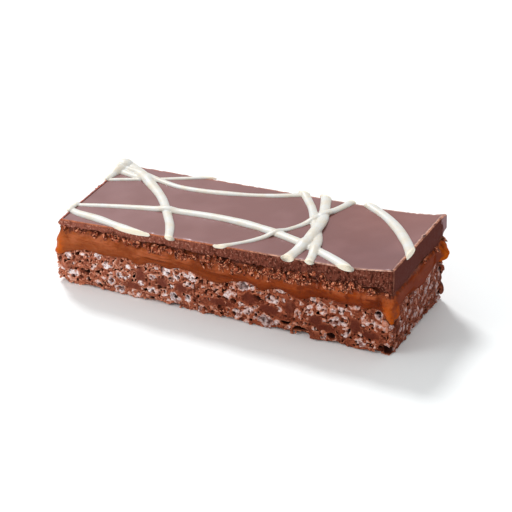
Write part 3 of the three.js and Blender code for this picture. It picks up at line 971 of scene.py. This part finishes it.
rings, lips, relief = caramel_rings()
highs = np.repeat(np.concatenate(([0], np.linspace(0, 1, CARAMEL_ROWS), [1])), len(lips))
caramel = joined_faces("caramel", *layer_shell(rings), high=highs, thin=np.tile(lips, len(rings)))
note(caramel, relief=relief)
caramel.data.materials.append(soft_caramel())
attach(caramel, "root")
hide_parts("caramel_layer")

# --------------------------------------------------------------------------------------
# The chocolate slab: milk chocolate spread over the caramel and set with a satin skin.
# The knife left its sawn flanks matt, with a fine upright grain, and chipped its rims.

HEIGHT_LEFT = 20.3
HEIGHT_RIGHT = 25.6
END_CURL = 1.5  # how much higher the slab's right end has curled
END_CURL_RUN = 18.6  # how far from that end the curl starts
SLAB_ROWS = 22
SLAB_INSET = 1.8
RIM_ROWS = (0.35, 0.75, 1.0)
RIM = 0.42  # how wide the rounded rim is, and at the right end
RIM_RIGHT = 0.6
RIM_FALL = 0.7  # how high the rim is, as a share of its width
FAR_AWAY = 9  # stands for a place that isn't near the chipped corner
SPUR = 0.6  # how far the far right corner stands out
BURR = 0.3  # how high the knife drew the left end's rim up


def top_at(x):
    curl = np.maximum(0, (x - BAR_LENGTH / 2 + END_CURL_RUN) / END_CURL_RUN)
    return along_bar(x, HEIGHT_LEFT, HEIGHT_RIGHT) + END_CURL * curl**2


def slab_bottom(x, along):
    return along_bar(x, SLAB_BOTTOM_LEFT, SLAB_BOTTOM_RIGHT) + 0.3 * np.sin(along * 0.31 + 1.1)


def top_skin(x, y):
    return top_at(x) + 0.06 * mottle(x, y, 0 * x, 9, 38)


def slab_wear():
    """Round the slab: how near its chipped, bloomed corner is, its rim's width and chipping."""
    side, along = stops["side"], stops["along"]
    to_corner = np.where(side == "right", WIDTH_RIGHT / 2 - along, FAR_AWAY)
    to_corner = np.where(side == "back", BAR_LENGTH / 2 - along, to_corner)
    far = (side == "right") | ((side == "back") & (along > 20))
    return to_corner, np.where(side == "right", RIM_RIGHT, RIM), np.where(far, 0.8, 0.4)


def slab_rings():
    """The slab's rings from the lowest up: its sawn flank, its rim and the edge of its skin."""
    side, along = stops["side"], stops["along"]
    x, y = stops["place"].T
    flat = 0 * x
    ragged = 0.3 * mottle(x, y, flat, 1.4, 31) + 0.2 * mottle(x, y, flat, 0.6, 32)
    lower = slab_bottom(x, along) + np.where(side == "right", 0.4, 1) * ragged
    cracks = round_the_bar(CRACKS)
    sawn = np.where(side == "right", 0.35, 1)
    to_corner, thick_rim, chipped = slab_wear()
    spur = SPUR * np.clip(1 - to_corner / 3, 0, 1)
    burr = np.where(side == "left", BURR + 0.12 * mottle(x, y, flat, 1.6, 40), 0)
    rings = [ring_at(-SLAB_INSET, lower + 0.3)]
    for row in range(SLAB_ROWS + 1):
        share = row / SLAB_ROWS
        high = lower + (top_at(x) - RIM * RIM_FALL - lower) * share
        grain = 0.07 * mottle(along, flat, high * 0.22, 0.5, 34)
        grain = grain + 0.12 * mottle(along, flat, high, 1.9, 35)
        crumbled = 0.35 * (1 - share) ** 3 * mottle(x, y, high, 0.9, 36)
        broken = cracks * max(0, 1 - share / 0.17)
        bulge = 0.15 * math.sin(math.pi * share)
        push = sawn * (grain + crumbled) - broken + bulge - 0.1
        push = push - 1.3 * np.clip(1 - to_corner / 1.8, 0, 1) * max(0, 1 - share / 0.45)
        push = push + spur * min(1, share / 0.5)
        rings.append(ring_at(push, high))
    uneven = mottle(x, y, flat, 1.3, 37) + 0.4 * mottle(x, y, flat, 0.6, 39)
    chip = chipped * np.clip(uneven - 0.15, 0, 1)
    for turn in RIM_ROWS:
        inset = thick_rim * (1 - math.cos(turn * math.pi / 2)) + chip * turn + 0.1
        rise = RIM * RIM_FALL * (1 - math.sin(turn * math.pi / 2)) + chip * 0.3
        rings.append(ring_at(spur - inset, top_at(x) - rise + burr * turn**2))
    inner = ring_at(-thick_rim - 0.7, x)[:, :2]
    rings.append(np.column_stack((inner, top_skin(*inner.T))))
    return rings


SAWN_DEEPER = (0.89, 0.84, 0.84)
# Painted sheen: tints of the top skin that make its reflection of the light stronger at the left and
# behind, weaker to the right and in front
SKIN_LESS_SHEEN_RIGHT = (0.86, 0.76, 0.76)
SKIN_SHEEN_BEHIND = (1.22, 1.16, 1.02)
SKIN_LESS_SHEEN_BEFORE = (0.91, 0.78, 0.74)
SKIN_SHEEN_LEFT = (1.02, 1.1, 1.16)
SKIN_GLOSS = (0.9, 0.84, 1.0, 1)
SKIN = screen_colour(118, 72, 64)
SKIN_CLOUDED = screen_colour(128, 84, 78)
SAWN = screen_colour(122, 67, 52)
SAWN_DARK = screen_colour(62, 27, 18)
SAWN_PALE = screen_colour(172, 120, 100)
# Painted shade for the slab's sawn right end face
SAWN_END_SHADE = screen_colour(112, 60, 50)
BLOOM = screen_colour(152, 122, 124)
# Pale rim tone: partly the chipped edge's own colour, partly a painted highlight along the edge
RIM_PALE_AND_HIGHLIGHT = screen_colour(222, 176, 156)
RIM_WARM = screen_colour(190, 112, 76)
# Painted light: bright orange on the left end's rim, a glow where the light from behind comes through the
# thin edge
RIM_PAINTED_GLOW_LEFT = screen_colour(205, 84, 30)


def set_chocolate():
    finish = Finish("set_chocolate", roughness=0.36, shine=0.5, subsurface=0.05, radius=(1.0, 0.5, 0.35))
    finish.inputs["Specular Tint"].default_value = SKIN_GLOSS
    skin = finish.tinted(
        finish.blended(finish.spread(finish.noise(16, 2), 0.4, 0.6), SKIN, SKIN_CLOUDED),
        # Painted sheen across the top skin
        (finish.along(0, 42, 0, 0.9), SKIN_LESS_SHEEN_RIGHT),
        (finish.times(finish.along(14, 34), finish.along(-8, 14, 0, 1, "Y")), SKIN_SHEEN_BEHIND),
        (finish.times(finish.along(10, 40), finish.along(4, -14, 0, 1, "Y")), SKIN_LESS_SHEEN_BEFORE),
        (finish.along(-15, -50, 0, 0.6), SKIN_SHEEN_LEFT),
    )
    upright = finish.noise(0.6, 3, (1, 1, 0.5))
    sawn = finish.coated(
        SAWN,
        (finish.times(finish.spread(upright, 0.56, 0.38), finish.along(-45, 25, 0.2, 1)), SAWN_DARK),
        (finish.patches(2.2, 0.46, 0.32, 0.5), SAWN_DARK),
        (finish.spread(finish.noise(0.55, 2), 0.57, 0.66, 0, 0.7), SAWN_PALE),
        # Painted shade on the right end's cut face
        (finish.along(51.2, 51.5), SAWN_END_SHADE),
    )
    sawn = reddened(finish, painted_light_and_end_shade(finish, sawn, 0.6), SAWN_DEEPER)
    bloomed = finish.sums("ADD", finish.value("bloom"), finish.noise(1.2))
    rim = finish.times(finish.value("rim"), finish.spread(finish.noise(1.1), 0.4, 0.6, 0.3, 1))
    # The rim's tone: partly the chipped edge's own colour, partly a painted highlight along the top edges
    rim_tone_and_highlight = finish.coated(
        RIM_WARM,
        (finish.along(5, 20), RIM_PALE_AND_HIGHLIGHT),
        (finish.along(50.6, 51.2, 0, 0.6), RIM_WARM),
        # Painted glow on the left end's rim
        (finish.along(-50.2, -50.8), RIM_PAINTED_GLOW_LEFT),
    )
    tone = finish.coated(
        sawn,
        (finish.noted("top", 0.4, 0.6), skin),
        (finish.spread(bloomed, 0.75, 1.05, 0, 0.95), BLOOM),
        (rim, rim_tone_and_highlight),
    )
    finish.link(finish.spread(finish.value("top"), 0, 1, 0.65, 0.36), "Roughness")
    finish.link(finish.spread(finish.value("top"), 0, 1, 0.02, 0.5), "Specular IOR Level")
    smooth = finish.sums("MAXIMUM", finish.value("top"), finish.value("rim"))
    finish.bumped(finish.times(finish.noise(0.6, 4), finish.spread(smooth, 0.2, 0.9, 1, 0.1)), 0.3, 0.7)
    return finish.coloured(tone)


rings = slab_rings()
points, quads, triangles = layer_shell(rings, top_skin)
count = len(stops["along"])
skin_start = (len(rings) - 2) * count
on_top = np.ones(len(points))
on_top[:skin_start] = 0
# Where the rim's pale tone goes: the top edges and the near right corner's upright edge, where it is partly
# a painted highlight
rim_and_highlight_values = np.zeros(len(points))
rim_and_highlight_values[skin_start - 2 * count : skin_start] = 1
rim_and_highlight_values[skin_start : skin_start + count] = np.where(stops["side"] == "front", 0.3, 0.85)
rim_and_highlight_values[stops["counts"][0] : skin_start : count] = 0.6  # the near right corner's edge
to_corner = slab_wear()[0]
bloom_values = np.zeros(len(points))
for row in range(len(rings) - 2):
    patch = np.clip(1.4 - to_corner / 3.2 - 0.6 * (1 - row / len(rings)), 0, 1)
    bloom_values[row * count : (row + 1) * count] = np.where(stops["side"] == "right", patch, 0)
chocolate_slab = joined_faces("chocolate_slab", points, quads, triangles, top=on_top, rim=rim_and_highlight_values)
note(chocolate_slab, bloom=bloom_values)
chocolate_slab.data.materials.append(set_chocolate())
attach(chocolate_slab, "root")
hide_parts("chocolate_top")

# --------------------------------------------------------------------------------------
# The flakes: crumbs of milk chocolate that the knife dragged out from under the slab and
# left stuck to the top of the caramel, thickest where the slab cracked away from it.

FLAKE_THICKNESS = 1.3  # how far down the band of flakes reaches on the back and the left end
# Where the band of flakes ends below, in the front face: along, height
FLAKE_LINE = [
    (-52, 17.8), (-48, 17.7), (-38, 17.8), (-30, 17.4), (-22, 16.9), (-10, 16.6), (-4, 15.8),
    (2.5, 15.7), (9, 16.5), (12, 15.8), (18, 16.4), (24, 16.6), (28, 17.9), (33, 16.8), (39, 17.8),
    (45, 18.6), (52, 19.4),
]
BAND_ROWS = 3
FLAKES_PER_M2 = 1.7e6
FLAKE_SIZE = 0.9
SMALLEST = (0.3, 0.25, 0.2)
LARGEST = (2.0, 1.3, 0.6)
VECTOR = "FLOAT_VECTOR"
NO_TURN = (0, 0, 0)
FULL_TURN = (6.28, 6.28, 6.28)
BREAK_SCALE = 520
BREAK_DEPTH = 1.0
FLAKE_SEED = 4
FLAKE = screen_colour(156, 75, 47)
FLAKE_DARK = screen_colour(62, 20, 9)
FLAKE_PALE = screen_colour(238, 158, 122)


def flake_band():
    """A strip of mesh behind the flakes: its value "amount" says how densely they lie."""
    along = stops["along"]
    x, y = stops["place"].T
    front, right = stops["side"] == "front", stops["side"] == "right"
    high = slab_bottom(x, along) + 0.3 - 0.5 * np.minimum(1, round_the_bar(CRACKS))
    low = high - FLAKE_THICKNESS - 0.6 * mottle(x, y, 0 * x, 5, 61)
    low = np.where(front, np.interp(along, *np.transpose(FLAKE_LINE)), low)
    low = np.where(right, high - 0.5, low)
    high = high + np.where(front, 1.6 * hump(along - 29, 4.5), 0)
    frontal = np.interp(along, (-50, -25, -12), (0.7, 0.8, 1))
    amount = np.where(front, frontal, np.where(right, 0.06, 0.7))
    amount = amount * (0.65 + 0.45 * mottle(x, y, 0 * x, 2.5, 62))
    count = len(x)
    ring = np.arange(count)
    faces = []
    points = [ring_at(0.25, low + (high - low) * row / (BAND_ROWS - 1)) for row in range(BAND_ROWS)]
    for row in range(BAND_ROWS - 1):
        below, above = row * count + ring, (row + 1) * count + ring
        faces.append(np.stack((below, np.roll(below, -1), np.roll(above, -1), above), 1))
    band = mesh_piece("flake_band", np.vstack(points), np.vstack(faces))
    note(band, amount=np.tile(amount, BAND_ROWS))
    return band


def new_tree(name, given, made):
    """A geometry node tree with named inputs, of the kinds given, and one geometry made."""
    tree = bpy.data.node_groups.new(name, "GeometryNodeTree")
    for key, kind in given.items():
        tree.interface.new_socket(key, in_out="INPUT", socket_type="NodeSocket" + kind)
    tree.interface.new_socket(made, in_out="OUTPUT", socket_type="NodeSocketGeometry")
    return tree, tree.nodes.new("NodeGroupInput").outputs


def with_nodes(piece, name, tree, settings):
    """The piece, renamed, with a geometry node tree's modifier set by its inputs' names."""
    piece.name = name
    modifier = piece.modifiers.new(tree.name, "NODES")
    modifier.node_group = tree
    for item in tree.interface.items_tree:
        if item.in_out == "INPUT" and item.name in settings:
            modifier[item.identifier] = settings[item.name]
    return piece


def flake_tree():
    """Geometry nodes: strew broken chips over the band, turned and sized at random."""
    tree, given = new_tree("flakes_on_band", {
        "Band": "Geometry", "Per square metre": "Float", "Chip size": "Float", "Seed": "Int",
        "Finish": "Material",
    }, "Flakes")
    amount = wired(tree, "GeometryNodeInputNamedAttribute", {"Name": "amount"}).outputs["Attribute"]
    density = wired(tree, "ShaderNodeMath", {0: amount, 1: given["Per square metre"]}, operation="MULTIPLY")
    strewn = wired(tree, "GeometryNodeDistributePointsOnFaces", {
        "Mesh": given["Band"], "Density": density.outputs[0], "Seed": given["Seed"],
    })
    chip = wired(tree, "GeometryNodeMeshIcoSphere", {"Subdivisions": 2, "Radius": given["Chip size"]})
    turn, size = (
        wired(tree, "FunctionNodeRandomValue", {0: least, 1: most, "Seed": given["Seed"]}, data_type=VECTOR)
        for least, most in ((NO_TURN, FULL_TURN), (SMALLEST, LARGEST))
    )
    instances = wired(tree, "GeometryNodeInstanceOnPoints", {
        "Points": strewn.outputs["Points"], "Instance": chip.outputs["Mesh"],
        "Rotation": turn.outputs[0], "Scale": size.outputs[0],
    })
    realize = wired(tree, "GeometryNodeRealizeInstances", {"Geometry": instances.outputs["Instances"]})
    place = tree.nodes.new("GeometryNodeInputPosition").outputs["Position"]
    grain = wired(tree, "ShaderNodeTexNoise", {"Vector": place, "Scale": BREAK_SCALE, "Detail": 2})
    centred = {0: grain.outputs["Color"], 1: (0.5, 0.5, 0.5)}
    middle = wired(tree, "ShaderNodeVectorMath", centred, operation="SUBTRACT")
    pushed = {0: middle.outputs["Vector"], "Scale": BREAK_DEPTH * MM}
    push = wired(tree, "ShaderNodeVectorMath", pushed, operation="SCALE")
    broken = wired(tree, "GeometryNodeSetPosition", {
        "Geometry": realize.outputs["Geometry"], "Offset": push.outputs["Vector"],
    })
    finish = wired(tree, "GeometryNodeSetMaterial", {
        "Geometry": broken.outputs["Geometry"], "Material": given["Finish"],
    })
    wired(tree, "NodeGroupOutput", {"Flakes": finish.outputs["Geometry"]})
    return tree


def broken_chocolate():
    finish = Finish("broken_chocolate", roughness=0.5, shine=0.1, subsurface=0.08, radius=(1.0, 0.4, 0.25))
    # The random dark and pale patches on the chips are partly painted: the dark stands in for shade between
    # chips, the pale for highlights on them
    return finish.coloured(finish.coated(
        FLAKE_DARK,
        (finish.patches(1.0, 0.42, 0.6), FLAKE),
        (finish.patches(0.6, 0.53, 0.61, 0.9), FLAKE_PALE),
    ))


flakes = settled(with_nodes(flake_band(), "chocolate_flakes", flake_tree(), {
    "Per square metre": FLAKES_PER_M2, "Chip size": FLAKE_SIZE * MM, "Seed": FLAKE_SEED,
    "Finish": broken_chocolate(),
}))
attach(flakes, "root")

# --------------------------------------------------------------------------------------
# The drizzle: white chocolate swung to and fro from a spoon over the whole sheet, so that
# each strand crosses the bar in a slack curve, and set before the knife cut its ends.

# Each strand's route over the top: x, y and its width there
DRIZZLE = [
    [(-51.3, 8.0, 1.5), (-47, 9.8, 1.7), (-35, 14.6, 1.6), (-24, 19.7, 1.7), (-21.6, 20.9, 1.6)],
    [(-49.8, 14.8, 3.0), (-45.5, 13.4, 2.6), (-40, 12.0, 1.8)],
    [(-50.2, 19.6, 4.4), (-45, 15.8, 4.1), (-39.5, 11.8, 3.7), (-30, 2.5, 3.0), (-22.4, -8.3, 2.75),
     (-19, -13.9, 2.7), (-15.6, -21.6, 2.5)],
    [(-49.5, 16.6, 2.0), (-42, 14.2, 2.1), (-35.3, 12.6, 2.2), (-28.3, 11.0, 2.2), (-21, 10.9, 2.3),
     (-13.9, 11.8, 2.3), (-6.8, 13.3, 1.9), (0.3, 15.4, 2.1), (7, 18.4, 2.2)],
    [(-51.4, -10.0, 1.8), (-40.1, -7.0, 2.2), (-28.9, -4.7, 2.6), (-17.4, -3.5, 3.0), (-5.9, -3.45, 3.1),
     (5.4, -5.1, 3.3), (16.6, -8.4, 3.3), (27.3, -12.9, 3.3), (36.2, -17.9, 3.5), (38.4, -20.8, 3.5)],
    [(7.0, 20.3, 2.9), (11.1, 15.0, 2.6), (14.3, 10.4, 2.7), (19.8, 0.5, 3.1), (23.6, -7.1, 3.2),
     (25.6, -14.1, 2.9), (26.9, -21.3, 2.6)],
    [(14.0, 20.6, 3.3), (16.4, 14.6, 3.2), (20.1, 3.7, 3.4), (21.1, -8, 3.8), (20.7, -14.8, 3.6),
     (19.8, -21.5, 3.5)],
    [(22.7, 19.2, 2.7), (20.8, 13.5, 2.5), (16.6, 3.2, 2.1), (13.6, -1.9, 1.7), (7.5, -11.4, 1.9),
     (3.6, -15.6, 1.6), (-1.6, -20.4, 2.1)],
    [(28.2, 19.0, 3.2), (35.8, 13.5, 3.1), (42.2, 6.8, 3.3), (47.7, -0.7, 3.3), (50.3, -4.9, 3.3),
     (52.8, -9.4, 3.4)],
    [(-51.4, -13.4, 2.4), (-47.7, -14.8, 2.9), (-41.4, -16.0, 3.2), (-35.2, -17.6, 3.0), (-30, -19.0, 3.1),
     (-23.4, -20.7, 2.4)],
    [(-51.3, 8.2, 1.8), (-51.4, 11.5, 3.2), (-51.2, 14.5, 4.4), (-50.6, 18.2, 5.4)],
    [(-51.3, -14.4, 1.8), (-51.5, -11.8, 2.0), (-51.3, -9.6, 1.4)],
]
STRAND_FLATNESS = 0.62
STRAND_SPREAD = 0.2  # a strand is this much wider than its route says, as it spread
STRAND_GRAIN = 0.2
ROUTE_STEP = 0.35
END_BULGE = 0.35  # how far a strand's end bulges out past the cut
DRIZZLE_TRIANGLES = 90000
WHITE = screen_colour(213, 213, 209)
CREAM = screen_colour(212, 203, 186)
# A paler cream for the strands' upright cut ends: painted light, so they look as lit as the tops
CUT_CREAM_LIT = screen_colour(236, 226, 206)


def slack_curve(route, step):
    """Points every step millimetres along a smooth curve through a route's points."""
    knots = np.array(route, float)
    padded = np.vstack((2 * knots[0] - knots[1], knots, 2 * knots[-1] - knots[-2]))
    fine = []
    for i in range(1, len(padded) - 2):
        a, b, c, d = padded[i - 1 : i + 3]
        t = np.linspace(0, 1, 60, endpoint=False)[:, None]
        cubic = (3 * b - a - 3 * c + d) * t**3 + (2 * a - 5 * b + 4 * c - d) * t**2
        fine.append(0.5 * (2 * b + (c - a) * t + cubic))
    fine = np.vstack(fine + [knots[-1:]])
    steps = np.linalg.norm(np.diff(fine[:, :2], axis=0), axis=1)
    length = np.concatenate(([0], np.cumsum(steps)))
    wanted = np.linspace(0, length[-1], max(3, int(length[-1] / step)))
    return np.column_stack([np.interp(wanted, length, column) for column in fine.T])


def drizzle_route():
    """The strands as curves: each lies on the slab and rides up over the ones before it."""
    data = bpy.data.curves.new("drizzle_route", "CURVE")
    data.dimensions = "3D"
    laid = np.zeros((0, 3))
    for order, route in enumerate(DRIZZLE):
        x, y, width = slack_curve(route, ROUTE_STEP).T
        half = (width + STRAND_SPREAD) / 2 * (1 + 0.05 * mottle(x, y, 0 * x, 5, 50 + order))
        lift = 0 * x
        for other_x, other_y, other_half in laid:
            near = hump(np.hypot(x - other_x, y - other_y), 1.1 * other_half + 0.5)
            lift = np.maximum(lift, 0.42 * other_half * near)
        spline = data.splines.new("POLY")
        spline.points.add(len(x) - 1)
        high = top_at(x) + lift
        for number, point in enumerate(spline.points):
            point.co = (x[number] * MM, y[number] * MM, high[number] * MM, 1)
            point.radius = half[number]
        laid = np.vstack((laid, np.column_stack((x, y, half))[::2]))
    route = bpy.data.objects.new("drizzle_route", data)
    bpy.context.scene.collection.objects.link(route)
    return route


def drizzle_tree():
    """Geometry nodes: sweep a bead along each strand, round its ends, melt all into one."""
    tree, given = new_tree(
        "drizzle_beads", {"Strands": "Geometry", "Grain": "Float", "Finish": "Material"}, "Beads"
    )
    upright = wired(tree, "GeometryNodeSetCurveNormal", {"Curve": given["Strands"]}, mode="Z_UP")
    bead = wired(tree, "GeometryNodeCurvePrimitiveCircle", {"Resolution": 16, "Radius": MM})
    flat = wired(tree, "GeometryNodeTransform", {
        "Geometry": bead.outputs["Curve"], "Scale": (1, STRAND_FLATNESS, 1),
    })
    width = tree.nodes.new("GeometryNodeInputRadius").outputs[0]
    sweep = wired(tree, "GeometryNodeCurveToMesh", {
        "Curve": upright.outputs["Curve"], "Profile Curve": flat.outputs["Geometry"],
        "Scale": width, "Fill Caps": True,
    })
    knob = wired(tree, "GeometryNodeMeshIcoSphere", {"Radius": MM, "Subdivisions": 3})
    knob_size = wired(
        tree, "ShaderNodeVectorMath", {0: (1, 1, STRAND_FLATNESS), "Scale": width}, operation="SCALE"
    )
    knobs = wired(tree, "GeometryNodeInstanceOnPoints", {
        "Points": given["Strands"], "Instance": knob.outputs["Mesh"], "Scale": knob_size.outputs[0],
        "Selection": tree.nodes.new("GeometryNodeCurveEndpointSelection").outputs[0],
    })
    together = wired(tree, "GeometryNodeJoinGeometry", {0: sweep.outputs["Mesh"]})
    tree.links.new(knobs.outputs["Instances"], together.inputs[0])
    realize = wired(tree, "GeometryNodeRealizeInstances", {"Geometry": together.outputs[0]})
    solid = wired(tree, "GeometryNodeMeshToVolume", {
        "Mesh": realize.outputs["Geometry"], "Voxel Size": given["Grain"], "Interior Band Width": 2 * MM,
    }, resolution_mode="VOXEL_SIZE")
    surface = wired(tree, "GeometryNodeVolumeToMesh", {
        "Volume": solid.outputs["Volume"], "Voxel Size": given["Grain"], "Threshold": 0.1,
    }, resolution_mode="VOXEL_SIZE")
    finish = wired(tree, "GeometryNodeSetMaterial", {
        "Geometry": surface.outputs["Mesh"], "Material": given["Finish"],
    })
    wired(tree, "NodeGroupOutput", {"Beads": finish.outputs["Geometry"]})
    return tree


def white_chocolate():
    finish = Finish("white_chocolate", roughness=0.4, shine=0.35, subsurface=0.3, radius=(1.2, 1.0, 0.8))
    finish.bumped(finish.noise(0.8, 2), 0.05, 0.5)
    return finish.coloured(finish.coated(
        CREAM,
        (finish.patches(3, 0.3, 0.6), WHITE),
        # Painted light on the strands' upright cut ends
        (finish.value("cut"), CUT_CREAM_LIT),
    ))


def flush_with_the_cut(piece):
    """The strands' ends pressed back to where the knife passed, and a little past it."""
    points = points_of(piece)
    x, y = points[:, 0], points[:, 1]
    for axis, over in ((0, np.abs(x) - BAR_LENGTH / 2), (1, np.abs(y) - width_at(x) / 2)):
        pressed = END_BULGE * (1 - np.exp(-np.maximum(over, 0) / END_BULGE))
        points[:, axis] -= np.sign(points[:, axis]) * (np.maximum(over, 0) - pressed)
    piece.data.vertices.foreach_set("co", (points * MM).ravel())
    return piece


beads = with_nodes(
    drizzle_route(), "drizzle", drizzle_tree(), {"Grain": STRAND_GRAIN * MM, "Finish": white_chocolate()}
)
drizzle = thinned(flush_with_the_cut(settled(beads)), DRIZZLE_TRIANGLES)
x, y, _ = points_of(drizzle).T
edge = np.maximum(np.abs(x) - BAR_LENGTH / 2, np.abs(y) - width_at(x) / 2)
note(drizzle, cut=np.clip((edge + 0.6) / 0.6, 0, 1))
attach(drizzle, "root")

# --------------------------------------------------------------------------------------
# The studio: a white floor under soft, even light, a window's broad light from the far
# left and a small fill from the near left, seen from above the near right corner.

CAMERA_PLACE = (271.73, -569.07, 349.3)
CAMERA_AIM = (1.63, -0.52, 11.33)
CAMERA_ROLL = 0.17
CAMERA_LENS = 175.78
SENSOR_WIDTH = 36
NEAREST_SEEN = 0.01
FLOOR_HALF = 2.0
FLOOR_WHITE = (0.93, 0.955, 0.96, 1)


def shown(name, data):
    thing = bpy.data.objects.new(name, data)
    bpy.context.scene.collection.objects.link(thing)
    return thing


def white_floor():
    finish = Finish("white_floor", roughness=0.9, shine=0.1)
    finish.inputs["Base Color"].default_value = FLOOR_WHITE
    mesh = bpy.data.meshes.new("floor")
    corners = [(x * FLOOR_HALF, y * FLOOR_HALF, 0) for x, y in ((-1, -1), (1, -1), (1, 1), (-1, 1))]
    mesh.from_pydata(corners, [], [(0, 1, 2, 3)])
    mesh.materials.append(finish.material)
    shown("floor", mesh)


def lamp(name, kind, power, place, aim, **settings):
    data = bpy.data.lights.new(name, kind)
    data.energy = power
    for key, setting in settings.items():
        setattr(data, key, setting)
    light = shown(name, data)
    light.location = place
    light.rotation_euler = (Vector(aim) - Vector(place)).to_track_quat("-Z", "Y").to_euler()


def studio_camera():
    data = bpy.data.cameras.new("camera")
    data.lens = CAMERA_LENS
    data.sensor_width = SENSOR_WIDTH
    data.clip_start = NEAREST_SEEN
    camera = shown("camera", data)
    place, aim = Vector(CAMERA_PLACE) * MM, Vector(CAMERA_AIM) * MM
    camera.matrix_world = (aim - place).to_track_quat("-Z", "Y").to_matrix().to_4x4()
    camera.rotation_euler.rotate_axis("Z", math.radians(CAMERA_ROLL))
    camera.location = place
    bpy.context.scene.camera = camera


white_floor()
studio_camera()
lamp("window", "SUN", power=1.95, place=(0, 0, 0), aim=(0.74, -0.67, -1), angle=math.radians(14))
lamp("left_fill", "AREA", power=0.26, place=(-0.15, -0.21, 0.19), aim=(-0.02, -0.01, 0.01), size=0.14)
world = bpy.data.worlds.new("studio")
world.use_nodes = True
background = world.node_tree.nodes["Background"]
background.inputs["Color"].default_value = (1, 1, 1, 1)
background.inputs["Strength"].default_value = 0.67
bpy.context.scene.world = world
bpy.context.scene.view_settings.view_transform = "Standard"
bpy.context.scene.view_settings.look = "None"
